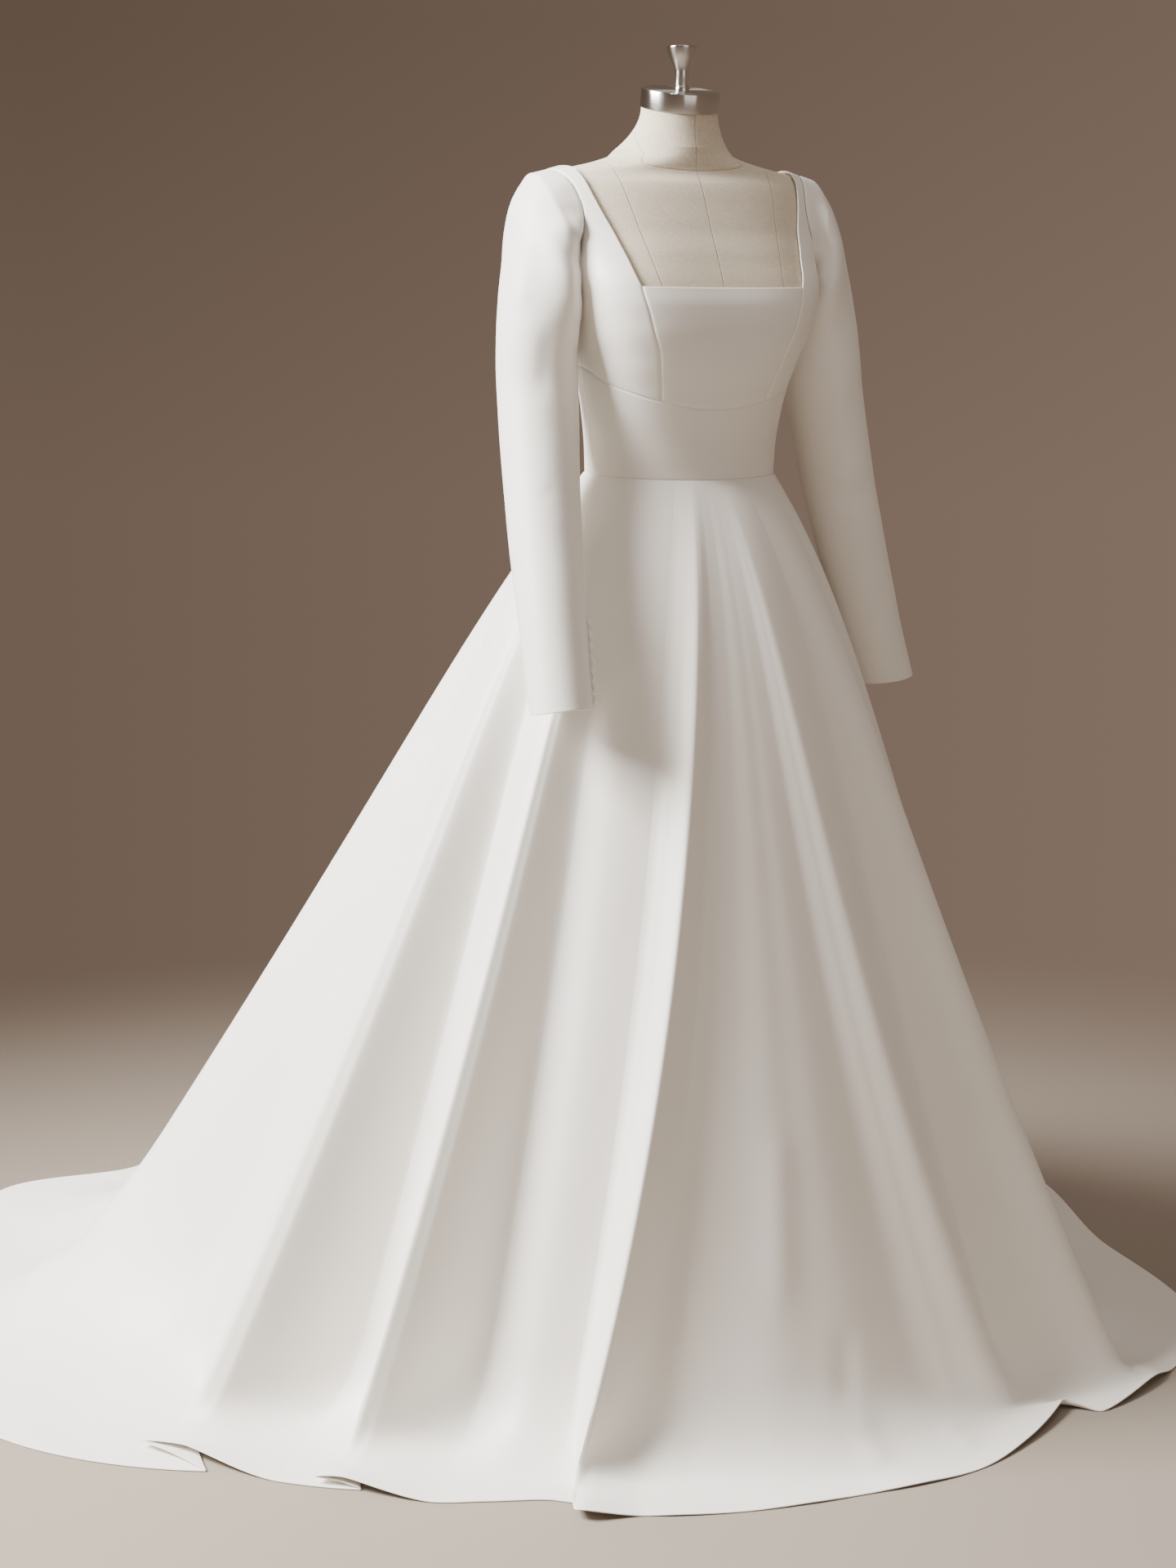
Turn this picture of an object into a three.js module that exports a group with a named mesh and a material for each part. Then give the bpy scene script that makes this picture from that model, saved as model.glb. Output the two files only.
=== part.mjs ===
// Wedding dress on a dress form. Long sleeves, square neckline, fitted bodice with a plain midriff band,
// and a full gored skirt that lands on the floor and runs out into a train at the back.
// Millimetres, +Z up, the dress faces -Y. The origin is the centre of the stand base's underside.
// The wearer's left is +X. Every cloth piece is a thin wall worked out from its middle surface.
import * as THREE from 'three';

const CLOTH = 1.6;            // wall of the satin with its backing
const SEAM_GAP = 0.3;         // clear space between two sewn pieces
const FORM_GAP = 3;           // clear space between the cloth and the dress form
const WAIST_SIDE = 1084;      // height of the waist seam at the sides
const WAIST_DIP = 11;         // how much lower the waist seam is at the centre front
const NECKLINE = 1300;        // height of the square neckline
const SLEEVE_SEGMENTS = 18;   // facets round a sleeve
const FORM_SEGMENTS = 32;     // facets round the dress form
const HEM_STEP = 75;          // widest facet along the hem
const FLOOR_LIFT = 1.1;       // height of the cloth's middle surface where it lies on the floor
const SKIRT_START = 0.6;      // the skirt's top edge is this far below the waist seam

const POLE_DIAMETER = 28;
const BASE_DIAMETER = 340;
const BASE_THICKNESS = 12;
const TORSO_BOTTOM = 874;
const NECK_START = 1461;
const NECK_END = 1508;
const NECK_BEHIND = 7;        // the neck's top and cap are this far behind the axis
const CAP_DIAMETER = 95;
const CAP_HEIGHT = 22;
const CAP_TILT = 12;          // degrees, forward

const BUTTON_DIAMETER = 10;
const BUTTON_HEIGHT = 5;
const BUTTON_COUNT = 7;
const BUTTON_PITCH = 15;
const BUTTON_FIRST = 10;      // from the cuff edge to the first button

const radians = THREE.MathUtils.degToRad;
const point = (x, y, z) => new THREE.Vector3(x, y, z);

function table(columns, rows) {
  return rows.map((row) => Object.fromEntries(columns.map((name, index) => [name, row[index]])));
}

// Sections through the outside of the bodice and, below the waist, of the form's hips.
// A section is a squared ellipse: half width, depth in front of its middle and behind it, how far behind the
// axis its middle is, and how square it is.
const BODY = table(['height', 'side', 'front', 'back', 'middle', 'square'], [
  [870, 148, 102, 110, 0, 2.2],
  [910, 155, 107, 116, 0, 2.2],
  [965, 149, 105, 113, 0, 2.2],
  [1025, 131, 96, 100, 0, 2.2],
  [1078, 118, 89, 89, 0, 2.2],
  [1112, 118.5, 93, 88, 0, 2.25],
  [1150, 121, 104, 88, 0, 2.4],
  [1180, 124, 116, 89, 0, 2.6],
  [1212, 130, 131, 92, 0, 2.9],
  [1250, 141, 141, 95, 0, 3.3],
  [1275, 147, 139, 97, 0, 3.6],
  [1300, 151, 130, 98, 0, 3.9],
  [1335, 156, 111, 99, 0, 3.2],
  [1370, 163, 93, 97, 3, 2.6],
  [1400, 171, 84, 83, 10, 2.3],
  [1422, 174, 80, 67, 19, 2.1],
  [1434, 167, 76, 55, 26, 2],
  [1442, 142, 81, 49, 32, 2],
  [1450, 106, 85.5, 47, 37, 2],
  [1458, 79, 88, 48, 40, 2],
  [1467, 60, 87.5, 56, 40, 2],
]);

// The seam under the bust, by azimuth from the centre front
const UNDERBUST = table(['azimuth', 'height'], [
  [0, 1158],
  [6, 1158],
  [34, 1167],
  [60, 1184],
  [92, 1207],
  [130, 1210],
  [180, 1210],
]);

// Where the sleeve is set in, by angle from the shoulder point towards the front
const ARMHOLE = table(['angle', 'x', 'y', 'z'], [
  [0, 167.5, 29, 1433],
  [30, 160, 4, 1429],
  [60, 149, -24, 1409],
  [90, 144, -43, 1380],
  [120, 147, -48, 1347],
  [150, 152, -33, 1325],
  [180, 156, 0, 1315],
  [210, 155, 33, 1325],
  [240, 152, 50, 1347],
  [270, 149, 60, 1380],
  [300, 153, 59, 1408],
  [330, 160, 49, 1427],
  [360, 167.5, 29, 1433],
]);

// Side front panel from the seam under the bust to the shoulder: its inner edge is the princess seam and then
// the neckline side of the strap, its outer edge the side seam and then the front of the armhole.
const SIDE_FRONT = table(['row', 'inX', 'inY', 'inZ', 'outX', 'outY', 'outZ'], [
  [0, 71, -104, 1167, 128, 4, 1207],
  [1, 78, -118, 1198, 134, 4, 1234],
  [2, 86, -130, 1232, 143, 3, 1262],
  [3, 95, -130, 1266, 152, 2, 1290],
  [4, 104, -124, 1299, 156, 0, 1315],
  [5, 109, -106, 1323, 152, -33, 1325],
  [6, 116, -88, 1348, 147, -48, 1347],
  [7, 127, -58, 1386, 144, -43, 1380],
  [8, 136, -22, 1413, 149, -24, 1409],
  [9, 143, 8, 1430, 160, 4, 1429],
  [10, 145.5, 32, 1435, 167.5, 29, 1433],
]);

// Side back panel, the same way, with the outer edge behind the armhole and ending at the shoulder seam
const SIDE_BACK = table(['row', 'inX', 'inY', 'inZ', 'outX', 'outY', 'outZ'], [
  [0, 74, 84, 1210, 128, 4, 1207],
  [1, 77, 85, 1232, 134, 4, 1234],
  [2, 82, 86, 1262, 143, 3, 1262],
  [3, 89, 86, 1290, 152, 2, 1290],
  [4, 96, 86, 1316, 156, 0, 1315],
  [5, 103, 84, 1340, 155, 33, 1325],
  [6, 110, 81, 1362, 152, 50, 1347],
  [7, 121, 75, 1388, 149, 60, 1380],
  [8, 132, 66, 1409, 153, 59, 1408],
  [9, 142, 51, 1427, 160, 49, 1427],
  [10, 145.5, 32, 1435, 167.5, 29, 1433],
]);
const CORNER_ROW = 4;         // row of both tables at the neckline's front corner
const BACK_CORNER_ROW = 5;    // row where the back neckline meets the back strap

// Sleeve rings after the armhole. Tilt turns a ring about the front-back axis, lean about the side axis, and
// sway sets its top that far behind its middle.
const SLEEVE_COLUMNS = ['x', 'y', 'z', 'tilt', 'lean', 'across', 'deep', 'sway'];
const SLEEVE_HEAD = table(SLEEVE_COLUMNS, [
  [170, 15, 1371, 78, 0, 61, 58.5, 12],
  [179, 14, 1350, 65, 0, 56, 55, 10],
  [183.5, 11, 1324, 53, 0, 50, 56, 7],
  [185, 7, 1297, 41, 0, 46, 55.5, 4],
  [187, 3, 1267, 26, 0, 44.5, 55, 2],
  [187.5, -2, 1232, 10, 2, 46, 54, 0],
  [188.5, -8, 1194, 1, 5, 47, 52, 0],
]);
const FOREARMS = {
  right: table(SLEEVE_COLUMNS, [
    [193, -26, 1140, -4, 14, 46.5, 49, 0],
    [201, -57, 1066, -5, 22, 44, 46, 0],
    [208, -88, 1000, -5, 24, 42, 43, 0],
    [214, -120, 936, -5, 24, 39.5, 41, 0],
    [218, -147, 876, -4, 18, 37.5, 39, 0],
    [221, -171, 820, -3, 10, 36, 38, 0],
  ]),
  left: table(SLEEVE_COLUMNS, [
    [196, -12, 1140, -3, 6, 46.5, 49, 0],
    [208, -19, 1064, 8, 5, 44, 46, 0],
    [224, -22, 996, 12, 2, 42, 43, 0],
    [242, -22, 930, 14, 0, 40, 41, 0],
    [259, -21, 870, 15, 0, 38.5, 39, 0],
    [278, -19, 813, 7, 0, 37.5, 38, 0],
  ]),
};
// Angles round the sleeve of the seam with the buttoned opening, at the head and at the cuff, and of the other
// long seam. The opening seam swings from one to the other after its first rows.
const SLEEVE_SEAMS = {
  right: { head: 168, cuff: 144, other: 304 },
  left: { head: 198, cuff: 198, other: 306 },
};
const SEAM_TURN_START = 2;
// Fullness at the front of the sleeve head, as a share of the ring: a bell about this row and angle
const PUFF = { share: 0.5, row: 3, rows: 2.2, angle: 115, angles: 38 };

// Folds of the skirt, one row for each ridge and valley, in order of azimuth from the centre front.
// Azimuths at the waist, where the straight fall meets the floor, and at the hem; radii of that landing and
// of the hem; height of the hem; and how much of the fall the bend into the floor takes.
const FOLD_COLUMNS = ['name', 'top', 'foot', 'tip', 'land', 'hem', 'lift', 'bend'];
const FOLDS = table(FOLD_COLUMNS, [
  ['centre_back', -180, -180, -180, 880, 1180, 4, 230],
  ['valley_1', -168, -168, -168, 795, 1150, 0, 240],
  ['train_right', -156, -156, -156, 850, 1050, 6, 230],
  ['valley_2', -146, -145, -145, 735, 950, 0, 200],
  ['train_edge', -136, -134, -134, 790, 1055, 4, 220],
  ['valley_3', -126, -123, -122, 715, 1010, 0, 220],
  ['broad_lobe', -116, -112, -107, 812, 975, 2, 230],
  ['valley_4', -101, -93, -87, 655, 890, 0, 150],
  ['root_4', -90, -85, -80.5, 650, 735, 0, 60],
  ['right_ridge', -81, -79.8, -78.5, 682, 745, 10, 40],
  ['valley_5', -71, -72, -68, 518, 690, 0, 90],
  ['root_5', -64, -66, -63, 524, 645, 0, 60],
  ['front_right_ridge', -59.5, -63, -61.5, 584, 645, 10, 30],
  ['valley_6', -50, -54, -50, 450, 615, 0, 100],
  ['soft_ridge', -40, -46, -44, 468, 586, 0, 100],
  ['valley_7', -27, -39.8, -37, 458, 560, 0, 100],
  ['front_ridge', -15, -36, -33, 530, 579, 10, 25],
  ['valley_8', -9, -29, -27, 463, 577, 0, 70],
  ['low_ridge_1', -6, -23, -23, 465, 574, 1, 70],
  ['valley_9', -3.5, -16, -16, 461.5, 568, 0, 80],
  ['low_ridge_2', -1, -9, -8, 464, 562, 1, 80],
  ['valley_10', 1, -2, -2, 461, 560, 0, 90],
  ['low_ridge_3', 3, 6, 5, 464, 565, 2, 70],
  ['valley_11', 5.5, 15, 13, 462, 570, 0, 80],
  ['front_left_ridge', 12, 28, 33, 506, 548, 12, 20],
  ['valley_12', 27, 36, 35, 462, 588, 0, 80],
  ['left_ridge', 42, 46, 44.5, 585, 621, 10, 25],
  ['valley_13', 54, 57, 50, 470, 640, 0, 90],
  ['far_left_ridge', 66, 68, 60, 505, 672, 10, 90],
  ['valley_14', 86, 88, 86, 445, 640, 0, 120],
  ['left_back_ridge', 106, 109, 108, 600, 720, 6, 140],
  ['valley_15', 124, 126, 126, 580, 790, 0, 170],
  ['back_left_ridge', 139, 140, 140, 720, 900, 8, 200],
  ['valley_16', 150, 151, 151, 690, 960, 0, 210],
  ['train_left', 161, 160, 160, 820, 1080, 6, 230],
  ['valley_17', 171, 171, 171, 790, 1150, 0, 240],
]);
const HIP_FRONT = 0.072;      // how far the fall bows out below the waist, as a share of its run
const HIP_BACK = 0.022;
const HIP_TURN = 15;          // azimuth where the bow is greatest
const HIP_DEPTH = 0.2;        // depth share where the bow is greatest
const FOLD_START = 1.3;       // how late a fold leaves the smooth cone of the skirt, as a power of the depth share
const AZIMUTH_DRIFT = 1.15;   // how late a fold swings from its waist azimuth to its foot azimuth
const APRON_SHARE = 0.8;      // most of the way from the landing to the hem that the bend may take
const FALL_STEPS = [0, 0.04, 0.1, 0.18, 0.29, 0.43, 0.6, 0.79, 1];
const BEND_STEPS = [0.33, 0.66, 1];
const FLOOR_STEPS = [0.5, 1];

// Skirt gores, each from one valley to another
const GORES = table(['name', 'from', 'to'], [
  ['skirt_back_right', 'centre_back', 'valley_3'],
  ['skirt_side_right', 'valley_3', 'valley_5'],
  ['skirt_side_front_right', 'valley_5', 'valley_7'],
  ['skirt_front', 'valley_7', 'valley_12'],
  ['skirt_side_front_left', 'valley_12', 'valley_14'],
  ['skirt_side_left', 'valley_14', 'valley_15'],
  ['skirt_back_left', 'valley_15', 'centre_back'],
]);

// A smooth curve through a table's rows that never overshoots between two of them
function curve(rows, across, value) {
  const x = rows.map((row) => row[across]);
  const y = rows.map((row) => row[value]);
  const last = x.length - 1;
  const rise = x.slice(1).map((next, i) => (y[i + 1] - y[i]) / (next - x[i]));
  const slope = x.map((_, i) => {
    if (i === 0) return rise[0];
    if (i === last) return rise[last - 1];
    if (rise[i - 1] * rise[i] <= 0) return 0;
    return (2 * rise[i - 1] * rise[i]) / (rise[i - 1] + rise[i]);
  });
  return (at) => {
    const t = Math.min(Math.max(at, x[0]), x[last]);
    let i = 0;
    while (i < last - 1 && t > x[i + 1]) i += 1;
    const span = x[i + 1] - x[i];
    const u = (t - x[i]) / span;
    const v = 1 - u;
    return y[i] * v * v * (1 + 2 * u) + y[i + 1] * u * u * (3 - 2 * u)
      + span * u * v * (slope[i] * v - slope[i + 1] * u);
  };
}

const bodySide = curve(BODY, 'height', 'side');
const bodyFront = curve(BODY, 'height', 'front');
const bodyBack = curve(BODY, 'height', 'back');
const bodyMiddle = curve(BODY, 'height', 'middle');
const bodySquare = curve(BODY, 'height', 'square');
const underbustHeight = curve(UNDERBUST, 'azimuth', 'height');
const waistHeight = (azimuth) => WAIST_SIDE - WAIST_DIP * (0.5 + 0.5 * Math.cos(azimuth));

// Below 1 inside the body's outside surface, above 1 outside it
function bodyValue(x, y, z) {
  const square = bodySquare(z);
  const from = y - bodyMiddle(z);
  const depth = from < 0 ? bodyFront(z) : bodyBack(z);
  return Math.abs(x / bodySide(z)) ** square + Math.abs(from / depth) ** square;
}

// Outward direction of the body's surface at a point
function bodyNormal(at) {
  const step = 0.5;
  const slope = (x, y, z) => bodyValue(at.x + x, at.y + y, at.z + z) - bodyValue(at.x - x, at.y - y, at.z - z);
  return point(slope(step, 0, 0), slope(0, step, 0), slope(0, 0, step)).normalize();
}

// The point of the body's surface seen from inside through a guide point. Low guides look straight out from the
// axis; near the shoulders the viewpoint moves under the guide, so that a strap can pass over the shoulder.
const SHOULDER_CORE = 1402;   // height of that viewpoint for the highest guides
const CORE_BEHIND = 16;       // and how far it is behind the axis
const RAY_REACH = 300;
const RAY_HALVINGS = 40;
function onBody(guide) {
  const share = THREE.MathUtils.smoothstep(guide.z, NECKLINE, SHOULDER_CORE);
  const core = point(guide.x * share, CORE_BEHIND * share, Math.min(guide.z, SHOULDER_CORE));
  const ray = guide.clone().sub(core).normalize();
  let near = 0;
  let far = RAY_REACH;
  for (let i = 0; i < RAY_HALVINGS; i += 1) {
    const middle = (near + far) / 2;
    const at = core.clone().addScaledVector(ray, middle);
    if (bodyValue(at.x, at.y, at.z) < 1) near = middle;
    else far = middle;
  }
  return core.addScaledVector(ray, near);
}

// Signed volume of a triangle mesh, which is positive when its faces point out
function signedVolume(positions, index) {
  const a = new THREE.Vector3();
  const b = new THREE.Vector3();
  const c = new THREE.Vector3();
  let sum = 0;
  for (let i = 0; i < index.length; i += 3) {
    a.fromArray(positions, index[i] * 3);
    b.fromArray(positions, index[i + 1] * 3);
    c.fromArray(positions, index[i + 2] * 3);
    sum += a.dot(b.cross(c)) / 6;
  }
  return sum;
}

function closedGeometry(positions, index) {
  const turned = signedVolume(positions, index) < 0;
  const faces = turned ? index.map((_, i) => index[i - (i % 3) + 2 - (i % 3)]) : index;
  const geometry = new THREE.BufferGeometry();
  geometry.setAttribute('position', new THREE.Float32BufferAttribute(positions, 3));
  geometry.setIndex(faces);
  geometry.computeVertexNormals();
  return geometry;
}

// A cloth wall about a grid of middle points and their normals: two skins joined along the four edges
function clothWall(points, normals) {
  const rows = points.length;
  const columns = points[0].length;
  const positions = [];
  for (const side of [0.5, -0.5]) {
    for (let j = 0; j < rows; j += 1) {
      for (let i = 0; i < columns; i += 1) {
        const at = points[j][i].clone().addScaledVector(normals[j][i], side * CLOTH);
        positions.push(at.x, at.y, at.z);
      }
    }
  }
  const outer = (j, i) => j * columns + i;
  const inner = (j, i) => rows * columns + j * columns + i;
  const index = [];
  const quad = (a, b, c, d) => index.push(a, b, c, a, c, d);
  for (let j = 0; j < rows - 1; j += 1) {
    for (let i = 0; i < columns - 1; i += 1) {
      quad(outer(j, i), outer(j, i + 1), outer(j + 1, i + 1), outer(j + 1, i));
      quad(inner(j, i), inner(j + 1, i), inner(j + 1, i + 1), inner(j, i + 1));
    }
  }
  for (let i = 0; i < columns - 1; i += 1) {
    quad(inner(0, i), inner(0, i + 1), outer(0, i + 1), outer(0, i));
    quad(outer(rows - 1, i), outer(rows - 1, i + 1), inner(rows - 1, i + 1), inner(rows - 1, i));
  }
  for (let j = 0; j < rows - 1; j += 1) {
    quad(outer(j, 0), outer(j + 1, 0), inner(j + 1, 0), inner(j, 0));
    quad(inner(j, columns - 1), inner(j + 1, columns - 1), outer(j + 1, columns - 1), outer(j, columns - 1));
  }
  return closedGeometry(positions, index);
}

// Normals of a grid from its neighbours, taken round the end where the grid closes on itself
function gridNormals(points, closed) {
  const last = points.length - 1;
  const columns = points[0].length;
  const wrap = closed ? columns - 1 : columns;
  return points.map((row, j) => row.map((_, i) => {
    const before = closed ? row[(i - 1 + wrap) % wrap] : row[Math.max(i - 1, 0)];
    const after = closed ? row[(i + 1) % wrap] : row[Math.min(i + 1, columns - 1)];
    const above = points[Math.max(j - 1, 0)][i];
    const below = points[Math.min(j + 1, last)][i];
    const along = below.clone().sub(above);
    return along.cross(after.clone().sub(before)).normalize();
  }));
}

// Moves a grid's outermost points in from the seam, so that neighbours stay apart
const move = (at, towards, by) => at.addScaledVector(towards.clone().sub(at).normalize(), by);
function trimEdges(points, { left = 0, right = 0, top = 0, bottom = 0 }) {
  const columns = points[0].length;
  const rows = points.length;
  points.forEach((row) => {
    if (left) move(row[0], row[1], left);
    if (right) move(row[columns - 1], row[columns - 2], right);
  });
  for (let i = 0; i < columns; i += 1) {
    if (top) move(points[0][i], points[1][i], top);
    if (bottom) move(points[rows - 1][i], points[rows - 2][i], bottom);
  }
  return points;
}

// How far a piece ends short of the seam at a column of a closed grid, so that it is a seam gap from its neighbour
// also where the rows run slantwise over the seam or the two pieces meet at an angle
function seamTrim(rows, j, i, gap) {
  const row = rows[j];
  const columns = row.length - 1;
  const towards = (to) => row[(to + columns) % columns].clone().sub(row[i]).normalize();
  const apart = towards(i + 1).sub(towards(i - 1));
  const clear = [j - 1, j + 1].filter((near) => rows[near]).map((near) => {
    const along = rows[near][i].clone().sub(row[i]).normalize();
    return apart.clone().addScaledVector(along, -apart.dot(along)).length();
  });
  return gap / Math.min(...clear);
}

// The part of a closed grid between two seams, shortened at both, as a wall
function seamedWall(rows, normals, from, to, gap = SEAM_GAP) {
  const points = rows.map((row, j) => {
    const part = row.slice(from, to + 1).map((at) => at.clone());
    move(part[0], row[from + 1], seamTrim(rows, j, from, gap));
    move(part.at(-1), row[to - 1], seamTrim(rows, j, to, gap));
    return part;
  });
  return clothWall(points, normals.map((row) => row.slice(from, to + 1)));
}

const SATIN = () => new THREE.MeshStandardMaterial({ color: 0xf3efe7, roughness: 0.42, metalness: 0 });
const LINEN = () => new THREE.MeshStandardMaterial({ color: 0xd8cdbd, roughness: 0.9, metalness: 0 });
const BRUSHED = () => new THREE.MeshStandardMaterial({ color: 0xb8b8b6, roughness: 0.32, metalness: 1 });
const BLACKED = () => new THREE.MeshStandardMaterial({ color: 0x3a3836, roughness: 0.5, metalness: 0.8 });

const dress = new THREE.Group();
function add(name, geometry, material, parent = dress) {
  const mesh = new THREE.Mesh(geometry, material);
  mesh.name = name;
  parent.add(mesh);
  return mesh;
}

const range = (count) => Array.from({ length: count + 1 }, (_, i) => i / count);
const mirrorPoint = (at) => point(-at.x, at.y, at.z);

// The cloth's middle surface lies half a wall inside the body's outside surface
function bodyGrid(guides) {
  const points = guides.map((row) => row.map(onBody));
  const normals = points.map((row) => row.map(bodyNormal));
  points.forEach((row, j) => row.forEach((at, i) => at.addScaledVector(normals[j][i], -CLOTH / 2)));
  return { points, normals };
}

function addBodice(name, guides, trims) {
  const { points, normals } = bodyGrid(guides);
  trimEdges(points, trims);
  add(name, clothWall(points, normals), SATIN());
}

// Both edges of a panel by row: smooth below and above the underarm corner, with a corner between
function panelEdges(rows) {
  const names = ['inX', 'inY', 'inZ', 'outX', 'outY', 'outZ'];
  return Object.fromEntries(names.map((key) => {
    const low = curve(rows.slice(0, CORNER_ROW + 1), 'row', key);
    const high = curve(rows.slice(CORNER_ROW), 'row', key);
    return [key, (row) => (row < CORNER_ROW ? low(row) : high(row))];
  }));
}

// Guides of a panel between two edges that its table gives, bent at the bottom to the seam under the bust
const PANEL_ROWS = 10;        // last row of both tables
const PANEL_STEPS = 20;
const SIDE_FRONT_ACROSS = 5;
const SIDE_BACK_ACROSS = 4;
const BEND_ROWS = 3;          // rows over which the bend to the seam under the bust fades out
const FRONT_BULGE = 0.12;     // how far the centre front's guides bow forward, as a share of their depth
function panelGuides(rows, across) {
  const edges = panelEdges(rows);
  const between = (row, u) => point(
    THREE.MathUtils.lerp(edges.inX(row), edges.outX(row), u),
    THREE.MathUtils.lerp(edges.inY(row), edges.outY(row), u),
    THREE.MathUtils.lerp(edges.inZ(row), edges.outZ(row), u),
  );
  return range(PANEL_STEPS).map((share) => {
    const row = PANEL_ROWS * share;
    const fade = Math.max(0, 1 - row / BEND_ROWS);
    return range(across).map((u) => {
      const low = between(0, u);
      const azimuth = THREE.MathUtils.radToDeg(Math.atan2(low.x, -low.y));
      const at = between(row, u);
      at.z += fade * (underbustHeight(azimuth) - low.z);
      return at;
    });
  });
}

const SEWN_EDGES = { left: SEAM_GAP / 2, right: SEAM_GAP / 2, top: SEAM_GAP / 2, bottom: SEAM_GAP / 2 };
function addPanels() {
  for (const [side, turn] of [['left', (at) => at], ['right', mirrorPoint]]) {
    const turned = (guides) => guides.map((row) => row.map(turn));
    addBodice(`bodice_side_front_${side}`, turned(panelGuides(SIDE_FRONT, SIDE_FRONT_ACROSS)), SEWN_EDGES);
    addBodice(`bodice_side_back_${side}`, turned(panelGuides(SIDE_BACK, SIDE_BACK_ACROSS)), SEWN_EDGES);
    addBodice(`bodice_centre_back_${side}`, turned(centreBackGuides()), SEWN_EDGES);
  }
  addBodice('bodice_centre_front', centreFrontGuides(), SEWN_EDGES);
}

// Centre front: straight across between the two princess seams
function centreFrontGuides() {
  const { inX, inY, inZ } = panelEdges(SIDE_FRONT);
  return range(8).map((share) => {
    const row = CORNER_ROW * share;
    const fade = Math.max(0, 1 - row / BEND_ROWS);
    return range(12).map((u) => {
      const across = 2 * u - 1;
      const x = inX(row) * across;
      const y = inY(row) * (1 + FRONT_BULGE * (1 - across ** 2));
      const azimuth = THREE.MathUtils.radToDeg(Math.atan2(Math.abs(x), -y));
      const bend = underbustHeight(azimuth) - inZ(0);
      return point(x, y, inZ(row) + fade * bend - share * (1 - across ** 2));
    });
  });
}

// Half of the centre back, from the centre back seam to the side back panel
function centreBackGuides() {
  const { inX, inY, inZ } = panelEdges(SIDE_BACK);
  return range(10).map((share) => {
    const row = BACK_CORNER_ROW * share;
    return range(4).map((u) => point(inX(row) * u, inY(row), inZ(row)));
  });
}

// Azimuths of the panels' lower corners on the wearer's left, from the centre front to the centre back, so that
// the midriff band's facets meet theirs
function seamAzimuths() {
  const front = centreFrontGuides()[0].filter((at) => at.x > -1);
  const sideFront = panelGuides(SIDE_FRONT, SIDE_FRONT_ACROSS)[0].slice(1);
  const sideBack = panelGuides(SIDE_BACK, SIDE_BACK_ACROSS)[0].reverse().slice(1);
  const back = centreBackGuides()[0].reverse().slice(1);
  const azimuths = (guides) => guides.map((at) => Math.atan2(at.x, -at.y));
  return { front: azimuths([...front, ...sideFront]), back: azimuths([sideFront.at(-1), ...sideBack, ...back]) };
}

// Midriff band between the waist seam and the seam under the bust. A guide's distance from the axis doesn't
// matter, because the body's surface is found along the ray through it.
const GUIDE_RADIUS = 100;
function addMidriff() {
  const { front, back } = seamAzimuths();
  const mirrored = (azimuths) => azimuths.map((turn) => -turn).reverse();
  const pieces = {
    midriff_front: [...mirrored(front.slice(1)), ...front],
    midriff_back_left: back,
    midriff_back_right: mirrored(back),
  };
  for (const [name, azimuths] of Object.entries(pieces)) {
    const guides = range(4).map((share) => azimuths.map((turn) => {
      const degrees = Math.abs(THREE.MathUtils.radToDeg(turn));
      const height = THREE.MathUtils.lerp(waistHeight(turn), underbustHeight(degrees), share);
      return point(GUIDE_RADIUS * Math.sin(turn), -GUIDE_RADIUS * Math.cos(turn), height);
    }));
    addBodice(name, guides, SEWN_EDGES);
  }
}

// Distance from the middle of a body section to its outside
function sectionRadius(height, azimuth) {
  const square = bodySquare(height);
  const depth = Math.cos(azimuth) > 0 ? bodyFront(height) : bodyBack(height);
  const inverse = Math.abs(Math.sin(azimuth) / bodySide(height)) ** square
    + Math.abs(Math.cos(azimuth) / depth) ** square;
  return inverse ** (-1 / square);
}

// Landing radius of the smooth cone that the folds stand on: each row averaged with two neighbours on each side
const CONE_WEIGHTS = [1, 2, 3, 2, 1];
FOLDS.forEach((fold, index) => {
  const count = FOLDS.length;
  const total = CONE_WEIGHTS.reduce((sum, weight) => sum + weight, 0);
  fold.cone = CONE_WEIGHTS.reduce((sum, weight, i) => {
    const near = FOLDS[(index + i - 2 + count) % count];
    return sum + (weight * near.land) / total;
  }, 0);
});

// A value of the folds at any place round the skirt, counted in rows of the table, by a smooth curve through the
// rows. The table's ends are repeated past each other, a full turn away.
const REPEATED = 3;
function roundCurve(key, turn = 0) {
  const count = FOLDS.length;
  const rows = FOLDS.map((fold, index) => ({ row: index, value: fold[key] }));
  const before = rows.slice(-REPEATED).map((at) => ({ row: at.row - count, value: at.value - turn }));
  const after = rows.slice(0, REPEATED).map((at) => ({ row: at.row + count, value: at.value + turn }));
  return curve([...before, ...rows, ...after], 'row', 'value');
}
const foldAzimuths = Object.entries({
  top: roundCurve('top', 360), foot: roundCurve('foot', 360), tip: roundCurve('tip', 360),
});
const foldSizes = Object.entries({
  land: roundCurve('land'), cone: roundCurve('cone'), hem: roundCurve('hem'), lift: roundCurve('lift'),
  bend: roundCurve('bend'),
});

function foldAt(place) {
  return Object.fromEntries([
    ...foldAzimuths.map(([key, read]) => [key, radians(read(place))]),
    ...foldSizes.map(([key, read]) => [key, read(place)]),
  ]);
}

function hipBow(azimuth, depth) {
  const share = 0.5 + 0.5 * Math.cos(azimuth - radians(HIP_TURN));
  const size = THREE.MathUtils.lerp(HIP_BACK, HIP_FRONT, share);
  const reach = depth / HIP_DEPTH;
  return size * reach * Math.exp(1 - reach) * (1 - depth ** 4);
}

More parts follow.
